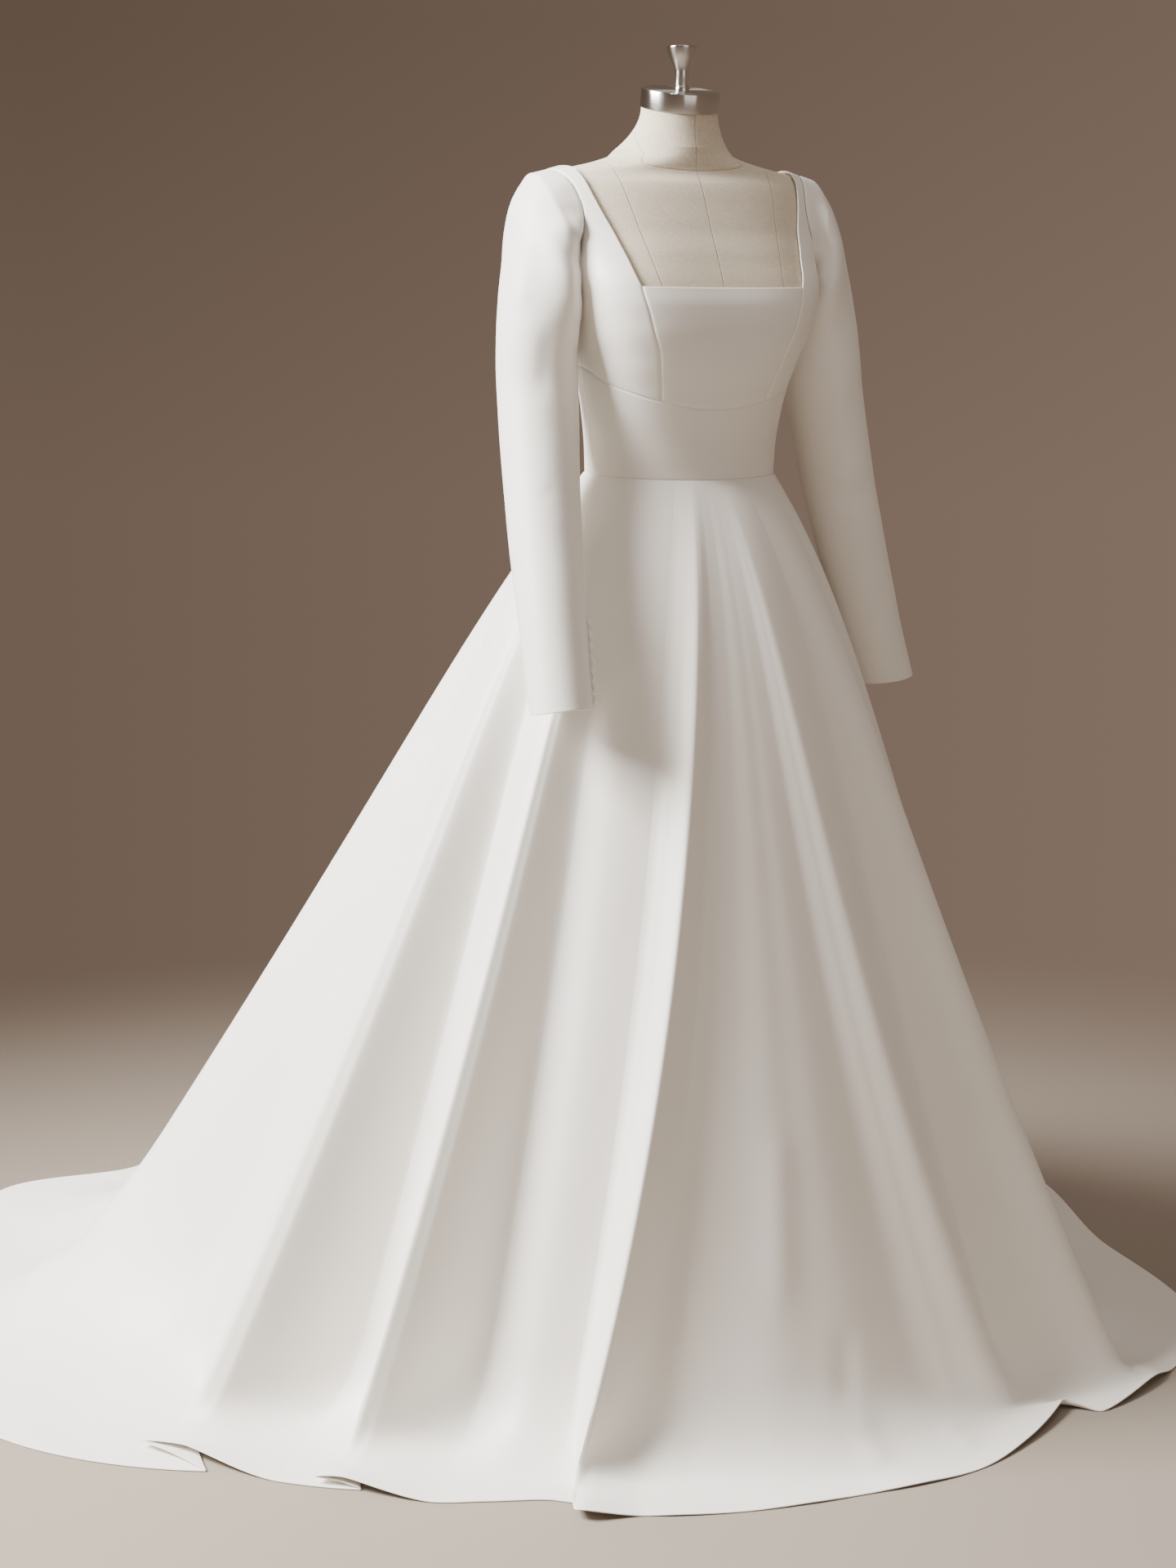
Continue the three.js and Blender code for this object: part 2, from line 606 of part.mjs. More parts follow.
// One line of the skirt from the waist down to the floor, round the bend and out to the hem
function skirtLine(fold) {
  const cylinder = (azimuth, radius, height) => point(
    radius * Math.sin(azimuth),
    -radius * Math.cos(azimuth),
    height,
  );
  const start = waistHeight(fold.top) - SKIRT_START;
  const drop = start - FLOOR_LIFT;
  const waist = sectionRadius(waistHeight(fold.top), fold.top) - CLOTH / 2;
  const falling = (depth) => {
    const azimuth = fold.top + (fold.foot - fold.top) * depth ** AZIMUTH_DRIFT;
    const radius = waist + (fold.cone - waist) * (depth + hipBow(azimuth, depth))
      + (fold.land - fold.cone) * depth ** FOLD_START;
    return { azimuth, radius, height: FLOOR_LIFT + drop * (1 - depth) };
  };
  const line = [];
  const bendDepth = 1 - fold.bend / drop;
  for (const step of FALL_STEPS) {
    const at = falling(bendDepth * step);
    line.push(cylinder(at.azimuth, at.radius, at.height));
  }
  const from = falling(bendDepth);
  const apron = fold.hem - fold.land;
  const out = Math.min(fold.bend, APRON_SHARE * apron);
  for (const q of BEND_STEPS) {
    const p = 1 - q;
    const radius = p * p * from.radius + 2 * q * p * fold.land + q * q * (fold.land + out);
    const height = p * p * from.height + (1 - p * p) * FLOOR_LIFT + fold.lift * q * q * (out / apron);
    const azimuth = from.azimuth + (fold.foot - from.azimuth) * q + (fold.tip - fold.foot) * q * q * (out / apron);
    line.push(cylinder(azimuth, radius, height));
  }
  for (const step of FLOOR_STEPS) {
    const share = (out + (apron - out) * step) / apron;
    const azimuth = fold.foot + (fold.tip - fold.foot) * share;
    line.push(cylinder(azimuth, fold.land + apron * share, FLOOR_LIFT + fold.lift * share));
  }
  return line;
}

// The whole skirt is worked out once, closed round the waist, and then cut into its gores
function addSkirt() {
  const lines = [];
  const firstLine = {};
  FOLDS.forEach((fold, index) => {
    firstLine[fold.name] = lines.length;
    const next = FOLDS[(index + 1) % FOLDS.length];
    const turn = (next.foot - fold.foot + 360) % 360;
    const run = radians(turn) * 0.5 * (fold.hem + next.hem) + Math.abs(fold.land - next.land);
    const steps = Math.max(3, Math.ceil(run / HEM_STEP));
    for (let i = 0; i < steps; i += 1) lines.push(skirtLine(foldAt(index + i / steps)));
  });
  lines.push(lines[0].map((at) => at.clone()));
  const rows = lines[0].map((_, j) => lines.map((line) => line[j]));
  const normals = gridNormals(rows, true);
  for (const gore of GORES) {
    const from = firstLine[gore.from];
    const to = gore.to === 'centre_back' ? lines.length - 1 : firstLine[gore.to];
    add(gore.name, seamedWall(rows, normals, from, to), SATIN());
  }
}

// Sleeve surface for the wearer's left: rings by row of the table, columns by angle from the top to the front
function sleeveSurface(side) {
  const rings = [...SLEEVE_HEAD, ...FOREARMS[side]].map((ring, index) => ({ ...ring, row: index + 1 }));
  const read = Object.fromEntries(SLEEVE_COLUMNS.map((key) => [key, curve(rings, 'row', key)]));
  const hole = Object.fromEntries(['x', 'y', 'z'].map((key) => [key, curve(ARMHOLE, 'angle', key)]));
  return (row, anyAngle) => {
    const angle = anyAngle % 360;
    const turn = radians(angle);
    const tilt = radians(read.tilt(row));
    const lean = radians(read.lean(row));
    const outward = point(Math.cos(tilt), 0, Math.sin(tilt));
    const forward = point(0, -Math.cos(lean), Math.sin(lean));
    const fuller = 1 + PUFF.share
      * Math.exp(-(((row - PUFF.row) / PUFF.rows) ** 2) - ((angle - PUFF.angle) / PUFF.angles) ** 2);
    const at = point(read.x(row), read.y(row), read.z(row))
      .addScaledVector(outward, fuller * read.across(row) * Math.cos(turn))
      .addScaledVector(forward, fuller * read.deep(row) * Math.sin(turn));
    at.y += read.sway(row) * Math.cos(turn);
    if (row >= 1) return at;
    const rim = onBody(point(hole.x(angle), hole.y(angle), hole.z(angle)));
    rim.addScaledVector(ARMHOLE_CENTRE.clone().sub(rim).normalize(), RIM_IN);
    rim.x += RIM_OUT;
    return rim.lerp(at, row);
  };
}

const SLEEVE_GAP = 0.45;      // wider than the other seams, because the walls twist at the sleeve head
const ARMHOLE_CENTRE = point(156, 8, 1374);
const RIM_IN = 1.8;           // the sleeve's rim stands this far inside the armhole's edge
const RIM_OUT = 2.4;          // and this far out from it
const SLEEVE_ROWS = [0, 0.5, 1, 1.6, 2.3, 3, 4, 5, 6, 7, 8, 9, 10.3, 11.7, 13];
const SLEEVE_END = 13;
function openingAngle(side, row) {
  const { head, cuff } = SLEEVE_SEAMS[side];
  return THREE.MathUtils.lerp(head, cuff, THREE.MathUtils.smoothstep(row, SEAM_TURN_START, SLEEVE_END));
}

function addSleeve(side, turn) {
  const surface = sleeveSurface(side);
  const { head, other } = SLEEVE_SEAMS[side];
  const upperSteps = Math.round((SLEEVE_SEGMENTS * (head + 360 - other)) / 360);
  const underSteps = SLEEVE_SEGMENTS - upperSteps;
  const rows = SLEEVE_ROWS.map((row) => {
    const opening = openingAngle(side, row);
    const angles = [
      ...range(underSteps).map((u) => THREE.MathUtils.lerp(opening, other, u)),
      ...range(upperSteps).slice(1).map((u) => THREE.MathUtils.lerp(other, opening + 360, u)),
    ];
    return angles.map((angle) => turn(surface(row, angle)));
  });
  const normals = gridNormals(rows, true);
  const pieces = [[`sleeve_under_${side}`, 0, underSteps], [`sleeve_upper_${side}`, underSteps, SLEEVE_SEGMENTS]];
  for (const [name, from, to] of pieces) {
    add(name, seamedWall(rows, normals, from, to, SLEEVE_GAP), SATIN());
  }
  addButtons(side, turn, surface);
}

// Covered buttons: low domes beside the opening, their flat backs just clear of the cloth
const BUTTON_ASIDE = 7;       // angle from the opening's seam to the buttons
const BUTTON_CLEAR = 0.8;     // from the cloth's outside to a button's back
const WALK_STEP = 0.005;      // step along the sleeve, in rows
function addButtons(side, turn, surface) {
  const radius = BUTTON_DIAMETER / 2;
  const profile = [
    new THREE.Vector2(0, 0),
    new THREE.Vector2(radius * 0.8, 0),
    new THREE.Vector2(radius, BUTTON_HEIGHT * 0.35),
    new THREE.Vector2(radius * 0.75, BUTTON_HEIGHT * 0.8),
    new THREE.Vector2(0, BUTTON_HEIGHT),
  ];
  const at = (row, aside) => turn(surface(row, openingAngle(side, row) + aside));
  let row = SLEEVE_END;
  let walked = 0;
  let place = at(row, BUTTON_ASIDE);
  for (let i = 0; i < BUTTON_COUNT; i += 1) {
    while (walked < BUTTON_FIRST + i * BUTTON_PITCH) {
      row -= WALK_STEP;
      const next = at(row, BUTTON_ASIDE);
      walked += next.distanceTo(place);
      place = next;
    }
    const along = at(row + 0.05, BUTTON_ASIDE).sub(at(row - 0.05, BUTTON_ASIDE));
    const round = at(row, BUTTON_ASIDE + 4).sub(at(row, BUTTON_ASIDE - 4));
    const normal = along.cross(round).normalize();
    const middle = turn(surface(row, 0)).add(turn(surface(row, 180))).multiplyScalar(0.5);
    if (normal.dot(place.clone().sub(middle)) < 0) normal.negate();
    const button = add(`cuff_button_${side}_${i + 1}`, new THREE.LatheGeometry(profile, 10), SATIN());
    button.quaternion.setFromUnitVectors(point(0, 1, 0), normal);
    button.position.copy(place).addScaledVector(normal, CLOTH / 2 + BUTTON_CLEAR);
  }
}

// A closed solid through level rings, with flat ends
function ringSolid(rings) {
  const count = rings[0].length;
  const positions = rings.flat().flatMap((at) => [at.x, at.y, at.z]);
  const index = [];
  for (let j = 0; j < rings.length - 1; j += 1) {
    for (let i = 0; i < count; i += 1) {
      const a = j * count + i;
      const b = j * count + ((i + 1) % count);
      index.push(a, b, b + count, a, b + count, a + count);
    }
  }
  for (const [ring, flip] of [[0, true], [rings.length - 1, false]]) {
    const centre = positions.length / 3;
    const sum = rings[ring].reduce((total, at) => total.add(at), point(0, 0, 0)).divideScalar(count);
    positions.push(sum.x, sum.y, sum.z);
    for (let i = 0; i < count; i += 1) {
      const a = ring * count + i;
      const b = ring * count + ((i + 1) % count);
      index.push(...(flip ? [centre, b, a] : [centre, a, b]));
    }
  }
  return closedGeometry(positions, index);
}

// The dress form's torso follows the bodice's sections, in from the cloth, with rounded hips
function addForm() {
  const inset = CLOTH + FORM_GAP;
  const ring = (height, depth, level) => range(FORM_SEGMENTS).slice(0, -1).map((u) => {
    const turn = 2 * Math.PI * u;
    const radius = sectionRadius(height, turn);
    const at = point(radius * Math.sin(turn), bodyMiddle(height) - radius * Math.cos(turn), height);
    at.addScaledVector(bodyNormal(at), -depth);
    if (level) at.z = height;
    return at;
  });
  const heights = [888, 925, 980, 1035, 1078, 1120, 1160, 1195, 1230, 1265, 1300,
    1335, 1370, 1400, 1422, 1436, 1446, 1455];
  const rings = [
    ring(TORSO_BOTTOM, inset + 14, true),
    ...heights.map((height) => ring(height, inset, false)),
    ring(NECK_START, inset, true),
  ];
  add('form_torso', ringSolid(rings), LINEN());
  addNeck(rings.at(-1));
}

// Neck from the torso's top ring to the round cap, its top tilted forward with the cap
function addNeck(base) {
  const tilt = radians(CAP_TILT);
  const top = base.map((at) => {
    const turn = Math.atan2(at.x, bodyMiddle(NECK_START) - at.y);
    const radius = CAP_DIAMETER / 2 - 1.5;
    const forward = radius * Math.cos(turn);
    const back = NECK_BEHIND - forward * Math.cos(tilt);
    return point(radius * Math.sin(turn), back, NECK_END - forward * Math.sin(tilt));
  });
  const bottom = base.map((at) => point(at.x, at.y, at.z + SEAM_GAP));
  const rings = [0, 0.3, 0.65, 1].map((share) => bottom.map((at, i) => {
    const ease = 1 - (1 - share) ** 2;
    return point(
      THREE.MathUtils.lerp(at.x, top[i].x, ease),
      THREE.MathUtils.lerp(at.y, top[i].y, ease),
      THREE.MathUtils.lerp(at.z, top[i].z, share),
    );
  }));
  add('form_neck', ringSolid(rings), LINEN());

  const head = new THREE.Group();
  head.position.set(0, NECK_BEHIND, NECK_END + SEAM_GAP);
  head.rotation.x = tilt;
  dress.add(head);
  addTurned('neck_cap', [[0, 0], [CAP_DIAMETER / 2 - 0.8, 0], [CAP_DIAMETER / 2, 1],
    [CAP_DIAMETER / 2, CAP_HEIGHT - 1.2], [CAP_DIAMETER / 2 - 1.2, CAP_HEIGHT], [0, CAP_HEIGHT]], BRUSHED(), 40, head);
  addKnob(tilt);
}

// The knob stands upright on the cap, so its foot slopes with the cap's top
const KNOB_FOOT_RADIUS = 9.2;
const KNOB_SEGMENTS = 20;
const KNOB = table(['radius', 'height'], [
  [9.3, 1533],
  [8.2, 1533.9],
  [8.5, 1534.9],
  [8.5, 1550],
  [8.7, 1552],
  [11.4, 1559.5],
  [15.7, 1568.5],
  [18.1, 1577],
  [18.4, 1578.4],
  [17, 1579.6],
]);
function addKnob(tilt) {
  const behind = NECK_BEHIND - CAP_HEIGHT * Math.sin(tilt);
  const capTop = NECK_END + SEAM_GAP + CAP_HEIGHT * Math.cos(tilt) - behind * Math.tan(tilt);
  const ring = (radius, height, slope) => range(KNOB_SEGMENTS).slice(0, -1).map((u) => {
    const y = -radius * Math.cos(2 * Math.PI * u);
    return point(radius * Math.sin(2 * Math.PI * u), y, height + slope * y);
  });
  const rings = [
    ring(KNOB_FOOT_RADIUS, capTop + SEAM_GAP, Math.tan(tilt)),
    ...KNOB.map(({ radius, height }) => ring(radius, height, 0)),
  ];
  add('neck_knob', ringSolid(rings), BRUSHED());
}

// A turned solid from a profile of radius and height pairs
function addTurned(name, profile, material, segments, parent) {
  const outline = profile.map(([radius, height]) => new THREE.Vector2(radius, height));
  const geometry = new THREE.LatheGeometry(outline, segments);
  geometry.rotateX(Math.PI / 2);
  add(name, geometry, material, parent);
}

function addStand() {
  const pole = POLE_DIAMETER / 2;
  const foot = BASE_DIAMETER / 2;
  addTurned('stand_base', [[0, 0], [foot - 2, 0], [foot, 2], [foot, BASE_THICKNESS - 4],
    [foot - 4, BASE_THICKNESS], [0, BASE_THICKNESS]], BLACKED(), 40, dress);
  addTurned('stand_pole', [[0, BASE_THICKNESS + SEAM_GAP], [pole + 10, BASE_THICKNESS + SEAM_GAP],
    [pole + 10, BASE_THICKNESS + 10], [pole, BASE_THICKNESS + 22], [pole, TORSO_BOTTOM - SEAM_GAP],
    [0, TORSO_BOTTOM - SEAM_GAP]], BLACKED(), 20, dress);
}

addPanels();
addMidriff();
addSkirt();
addSleeve('left', (at) => at);
addSleeve('right', mirrorPoint);
addForm();
addStand();

export default dress;
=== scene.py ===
"""Wedding dress on a dress form: the satin gown with its sewing, the linen form, its metal and a studio.

Lengths in the tables are millimetres, as a dressmaker writes them, and every mesh is built in metres. The
dress faces -Y and the wearer's left is +X. Each sewn piece is a grid of points on its outer surface, worked
out from two parameters, and its wall is added inside that surface.
"""

import math

import bpy
import numpy as np
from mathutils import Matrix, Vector


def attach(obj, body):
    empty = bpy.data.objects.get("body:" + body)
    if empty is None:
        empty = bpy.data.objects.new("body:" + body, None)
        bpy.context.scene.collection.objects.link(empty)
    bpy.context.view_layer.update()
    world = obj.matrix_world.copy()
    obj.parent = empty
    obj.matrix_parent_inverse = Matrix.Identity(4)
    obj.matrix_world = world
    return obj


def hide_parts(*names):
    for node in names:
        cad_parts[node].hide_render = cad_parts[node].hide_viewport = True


bl_info = {
    "name": "Wedding Dress on a Dress Form",
    "version": (1, 0, 0),
    "blender": (4, 5, 0),
    "location": "3D View > Sidebar > Wedding Dress",
    "description": "Builds a satin wedding dress, its dress form and a plain studio",
    "category": "Add Mesh",
}

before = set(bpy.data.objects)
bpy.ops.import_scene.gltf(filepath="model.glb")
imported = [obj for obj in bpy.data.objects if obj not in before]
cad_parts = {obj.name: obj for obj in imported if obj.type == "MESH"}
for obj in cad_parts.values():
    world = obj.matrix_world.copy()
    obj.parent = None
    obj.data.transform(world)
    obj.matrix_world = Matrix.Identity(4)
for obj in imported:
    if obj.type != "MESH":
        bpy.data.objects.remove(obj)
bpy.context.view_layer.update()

MM = 0.001
FULL_TURN = 2 * math.pi
SIDES = ("left", "right")

# Sizes shared with the solid part
CLOTH = 1.6  # wall of the satin with its backing
SEAM_GAP = 0.3  # clear space between touching parts
FORM_GAP = 3.0  # clear space between the cloth and the dress form
WAIST_SIDE = 1084.0
WAIST_DIP = 11.0
FLOOR_LIFT = 1.1  # under the cloth where it lies on the floor
TORSO_BOTTOM = 874.0
NECK_START = 1461.0
NECK_END = 1508.0
NECK_BEHIND = 7.0
CAP_DIAMETER = 95.0
CAP_HEIGHT = 22.0
CAP_TILT = 12.0
BASE_THICKNESS = 12.0

# Grid lines
PANEL_PITCH = 4.0  # step between the lines of the bodice, and round the sleeves
SLEEVE_PITCH = 5.0  # step along the sleeves
EDGE_LINES = np.array([0, 0.25, 0.6, 1.1, 1.8, 2.8, 4.2])  # extra lines beside a seam or a free edge

# Edges of the cloth
SEAM_REACH = 1.5  # width of a seam's dip
ROLL_AT = 2.2  # how far a turned edge's roll lies from it
ROLL_WIDTH = 1.4
RIM_FLOOR = 0.02  # least share under the root in the quarter circle of a rounded rim
CREASE_END = 0.3  # share of a crease over which it rises, and dies away
SEWN = 0.0
FREE = 1.0
ALL_SEWN = {"first_column": SEWN, "last_column": SEWN, "first_row": SEWN, "last_row": SEWN}
FREE_AT_LAST = {**ALL_SEWN, "last_row": FREE}


def table(columns, rows):
    """A table with named columns, as one array for each name."""
    values = np.array(rows, float)
    return dict(zip(columns.split(), values.T))


# Sections through the outside of the bodice and the form: half width, depth in front of the middle and
# behind it, how far behind the axis the middle is, and the power of the squared ellipse
BODY = table(
    "height side front back middle square",
    [
        (870, 148, 102, 110, 0, 2.2),
        (910, 155, 107, 116, 0, 2.2),
        (965, 149, 105, 113, 0, 2.2),
        (1025, 131, 96, 100, 0, 2.2),
        (1078, 118, 89, 89, 0, 2.2),
        (1112, 118.5, 93, 88, 0, 2.25),
        (1150, 121, 104, 88, 0, 2.4),
        (1180, 124, 116, 89, 0, 2.6),
        (1212, 130, 131, 92, 0, 2.9),
        (1250, 141, 141, 95, 0, 3.3),
        (1275, 147, 139, 97, 0, 3.6),
        (1300, 151, 130, 98, 0, 3.9),
        (1335, 156, 111, 99, 0, 3.2),
        (1370, 163, 93, 97, 3, 2.6),
        (1400, 171, 84, 83, 10, 2.3),
        (1422, 174, 80, 67, 19, 2.1),
        (1434, 167, 76, 55, 26, 2),
        (1442, 142, 81, 49, 32, 2),
        (1450, 106, 85.5, 47, 37, 2),
        (1458, 79, 88, 48, 40, 2),
        (1467, 60, 87.5, 56, 40, 2),
    ],
)

# Height of the seam under the bust, by azimuth from the centre front
UNDERBUST = table(
    "azimuth height",
    [(0, 1158), (6, 1158), (34, 1167), (60, 1184), (92, 1207), (130, 1210), (180, 1210)],
)

# Armhole seam, by angle from the shoulder point towards the front
ARMHOLE = table(
    "angle x y z",
    [
        (0, 167.5, 29, 1433),
        (30, 160, 4, 1429),
        (60, 149, -24, 1409),
        (90, 144, -43, 1380),
        (120, 147, -48, 1347),
        (150, 152, -33, 1325),
        (180, 156, 0, 1315),
        (210, 155, 33, 1325),
        (240, 152, 50, 1347),
        (270, 149, 60, 1380),
        (300, 153, 59, 1408),
        (330, 160, 49, 1427),
        (360, 167.5, 29, 1433),
    ],
)

# The two edges of the side front and side back panels, from the seam under the bust to the shoulder
EDGE_COLUMNS = "row in_x in_y in_z out_x out_y out_z"
SIDE_FRONT = table(
    EDGE_COLUMNS,
    [
        (0, 71, -104, 1167, 128, 4, 1207),
        (1, 78, -118, 1198, 134, 4, 1234),
        (2, 86, -130, 1232, 143, 3, 1262),
        (3, 95, -130, 1266, 152, 2, 1290),
        (4, 104, -124, 1299, 156, 0, 1315),
        (5, 109, -106, 1323, 152, -33, 1325),
        (6, 116, -88, 1348, 147, -48, 1347),
        (7, 127, -58, 1386, 144, -43, 1380),
        (8, 136, -22, 1413, 149, -24, 1409),
        (9, 143, 8, 1430, 160, 4, 1429),
        (10, 145.5, 32, 1435, 167.5, 29, 1433),
    ],
)
SIDE_BACK = table(
    EDGE_COLUMNS,
    [
        (0, 74, 84, 1210, 128, 4, 1207),
        (1, 77, 85, 1232, 134, 4, 1234),
        (2, 82, 86, 1262, 143, 3, 1262),
        (3, 89, 86, 1290, 152, 2, 1290),
        (4, 96, 86, 1316, 156, 0, 1315),
        (5, 103, 84, 1340, 155, 33, 1325),
        (6, 110, 81, 1362, 152, 50, 1347),
        (7, 121, 75, 1388, 149, 60, 1380),
        (8, 132, 66, 1409, 153, 59, 1408),
        (9, 142, 51, 1427, 160, 49, 1427),
        (10, 145.5, 32, 1435, 167.5, 29, 1433),
    ],
)
CORNER_ROW = 4  # row at the neckline's front corner and at the underarm
BACK_CORNER_ROW = 5
LAST_ROW = 10
NECKLINE = 1300.0

# Outlines of the turned metal, as radius and height, with their edges broken. They start and end this near
# the axis, so that every face keeps four corners. The knob's is the part above its sloping foot.
NEAR_AXIS = 0.01
KNOB = [
    (9.3, 1533),
    (8.9, 1533.6),
    (8.2, 1533.9),
    (8.2, 1534.5),
    (8.5, 1534.9),
    (8.5, 1550),
    (8.7, 1552),
    (9.6, 1555),
    (11.4, 1559.5),
    (13.6, 1564),
    (15.7, 1568.5),
    (17.2, 1573),
    (18.1, 1577),
    (18.4, 1578.4),
    (18, 1579.2),
    (17, 1579.6),
    (NEAR_AXIS, 1579.6),
]
KNOB_FOOT = 9.2
CAP_RIM = CAP_DIAMETER / 2
CAP = [
    (NEAR_AXIS, 0),
    (CAP_RIM - 0.8, 0),
    (CAP_RIM - 0.2, 0.3),
    (CAP_RIM, 1),
    (CAP_RIM, CAP_HEIGHT - 1.4),
    (CAP_RIM - 0.4, CAP_HEIGHT - 0.4),
    (CAP_RIM - 1.4, CAP_HEIGHT),
    (CAP_RIM - 2.4, CAP_HEIGHT),
    (NEAR_AXIS, CAP_HEIGHT),
]
STAND_BASE = [
    (NEAR_AXIS, 0),
    (168, 0),
    (169.6, 0.5),
    (170, 2),
    (170, 8),
    (169, 10.6),
    (166, BASE_THICKNESS),
    (NEAR_AXIS, BASE_THICKNESS),
]
STAND_POLE = [
    (NEAR_AXIS, BASE_THICKNESS + SEAM_GAP),
    (24, BASE_THICKNESS + SEAM_GAP),
    (24, 20),
    (23, 22),
    (16, 33),
    (14, 35),
    (14, TORSO_BOTTOM - SEAM_GAP),
    (NEAR_AXIS, TORSO_BOTTOM - SEAM_GAP),
]

# Rings of the sleeves after the armhole
RING_COLUMNS = "x y z tilt lean across deep sway"
SLEEVE_HEAD = [
    (170, 15, 1371, 78, 0, 61, 58.5, 12),
    (179, 14, 1350, 65, 0, 56, 55, 10),
    (183.5, 11, 1324, 53, 0, 50, 56, 7),
    (185, 7, 1297, 41, 0, 46, 55.5, 4),
    (187, 3, 1267, 26, 0, 44.5, 55, 2),
    (187.5, -2, 1232, 10, 2, 46, 54, 0),
    (188.5, -8, 1194, 1, 5, 47, 52, 0),
]
SLEEVES = {
    "right": table(
        RING_COLUMNS,
        SLEEVE_HEAD
        + [
            (193, -26, 1140, -4, 14, 46.5, 49, 0),
            (201, -57, 1066, -5, 22, 44, 46, 0),
            (208, -88, 1000, -5, 24, 42, 43, 0),
            (214, -120, 936, -5, 24, 39.5, 41, 0),
            (218, -147, 876, -4, 18, 37.5, 39, 0),
            (221, -171, 820, -3, 10, 36, 38, 0),
        ],
    ),
    "left": table(
        RING_COLUMNS,
        SLEEVE_HEAD
        + [
            (196, -12, 1140, -3, 6, 46.5, 49, 0),
            (208, -19, 1064, 8, 5, 44, 46, 0),
            (224, -22, 996, 12, 2, 42, 43, 0),
            (242, -22, 930, 14, 0, 40, 41, 0),
            (259, -21, 870, 15, 0, 38.5, 39, 0),
            (278, -19, 813, 7, 0, 37.5, 38, 0),
        ],
    ),
}
# Angles round the sleeve of the seam with the buttoned opening, at the head and at the cuff, and of the
# other seam
SLEEVE_SEAMS = {"right": (168.0, 144.0, 304.0), "left": (198.0, 198.0, 306.0)}
SEAM_TURN_START = 2.0  # row where the opening seam begins to swing from one angle to the other
# Fullness at the front of the sleeve head, as a share of the ring: a bell about this row and angle
PUFF_SHARE = 0.5
PUFF_ROW, PUFF_ROWS = 3.0, 2.2
PUFF_ANGLE, PUFF_ANGLES = 115.0, 38.0

# Folds of the skirt, one row for each ridge, valley and turned-under layer. Azimuths at the waist, where the
# fall meets the floor, and at the hem; radii of that landing and of the hem; height of the hem; length of
# the bend.
FOLD_ROWS = [
    ("centre_back", -180, -180, -180, 880, 1180, 4, 230),
    ("valley_1", -168, -168, -168, 795, 1150, 0, 240),
    ("train_right", -156, -156, -156, 850, 1050, 6, 230),
    ("valley_2", -146, -145, -145, 735, 950, 0, 200),
    ("train_edge", -136, -134, -134, 790, 1055, 4, 220),
    ("valley_3", -126, -123, -122, 715, 1010, 0, 220),
    ("broad_lobe", -116, -112, -107, 812, 975, 2, 230),
    ("valley_4", -101, -93, -87, 655, 890, 0, 150),
    ("root_4", -90, -85, -70.5, 650, 716, 0, 60),
    ("under_4", -87, -82.5, -74.5, 664, 728, 4.5, 50),
    ("right_ridge", -81, -79.8, -78, 682, 748, 9, 40),
    ("crown_4", -78, -78, -74.6, 668, 716, 13, 45),
    ("valley_5", -71, -72, -64.5, 518, 674, 0, 90),
    ("root_5", -64, -66, -56.8, 524, 630, 0, 60),
    ("under_5", -62.5, -64.8, -58.8, 552, 637, 4.5, 45),
    ("front_right_ridge", -59.5, -63, -61.2, 584, 652, 9, 30),
    ("crown_5", -57.5, -61.5, -58.6, 570, 638, 13, 40),
    ("valley_6", -50, -54, -49, 450, 612, 0, 100),
    ("soft_ridge", -40, -46, -44, 468, 586, 0, 100),
    ("valley_7", -27, -39.8, -37, 458, 560, 0, 100),
    ("root_7", -21, -38.2, -32.6, 476, 563, 0, 60),
    ("front_ridge", -15, -36, -34.2, 530, 592, 9, 25),
    ("crown_7", -13, -34.4, -33, 514, 596, 12, 40),
    ("valley_8", -9, -29, -27, 463, 577, 0, 70),
    ("low_ridge_1", -6, -23, -23, 463.6, 574, 1, 70),
    ("valley_9", -3.5, -16, -16, 462, 568, 0, 80),
    ("low_ridge_2", -1, -9, -8, 463.3, 562, 1, 80),
    ("valley_10", 1, -2, -2, 461.6, 560, 0, 90),
    ("low_ridge_3", 3, 6, 5, 463.4, 565, 2, 70),
    ("valley_11", 5.5, 15, 13, 462, 570, 0, 80),
    ("flank_8", 8.8, 21.5, 23, 481, 560, 5, 50),
    ("front_left_ridge", 12, 28, 33, 507, 548, 12, 20),
    ("flank_9", 19, 31.8, 34.2, 486, 568, 5, 50),
    ("valley_12", 27, 36, 35, 462, 588, 0, 80),
    ("left_ridge", 42, 46, 44.5, 585, 621, 10, 25),
    ("valley_13", 54, 57, 50, 470, 640, 0, 90),
    ("far_left_ridge", 66, 68, 60, 505, 672, 10, 90),
    ("valley_14", 86, 88, 86, 445, 640, 0, 120),
    ("left_back_ridge", 106, 109, 108, 600, 720, 6, 140),
    ("valley_15", 124, 126, 126, 580, 790, 0, 170),
    ("back_left_ridge", 139, 140, 140, 720, 900, 8, 200),
    ("valley_16", 150, 151, 151, 690, 960, 0, 210),
    ("train_left", 161, 160, 160, 820, 1080, 6, 230),
    ("valley_17", 171, 171, 171, 790, 1150, 0, 240),
]
FOLD_NAMES = [row[0] for row in FOLD_ROWS]
FOLDS = table("top foot tip land hem lift bend", [row[1:] for row in FOLD_ROWS])
HIP_FRONT = 0.072
HIP_BACK = 0.022
HIP_TURN = 15.0
HIP_DEPTH = 0.2
FOLD_START = 1.3
AZIMUTH_DRIFT = 1.15

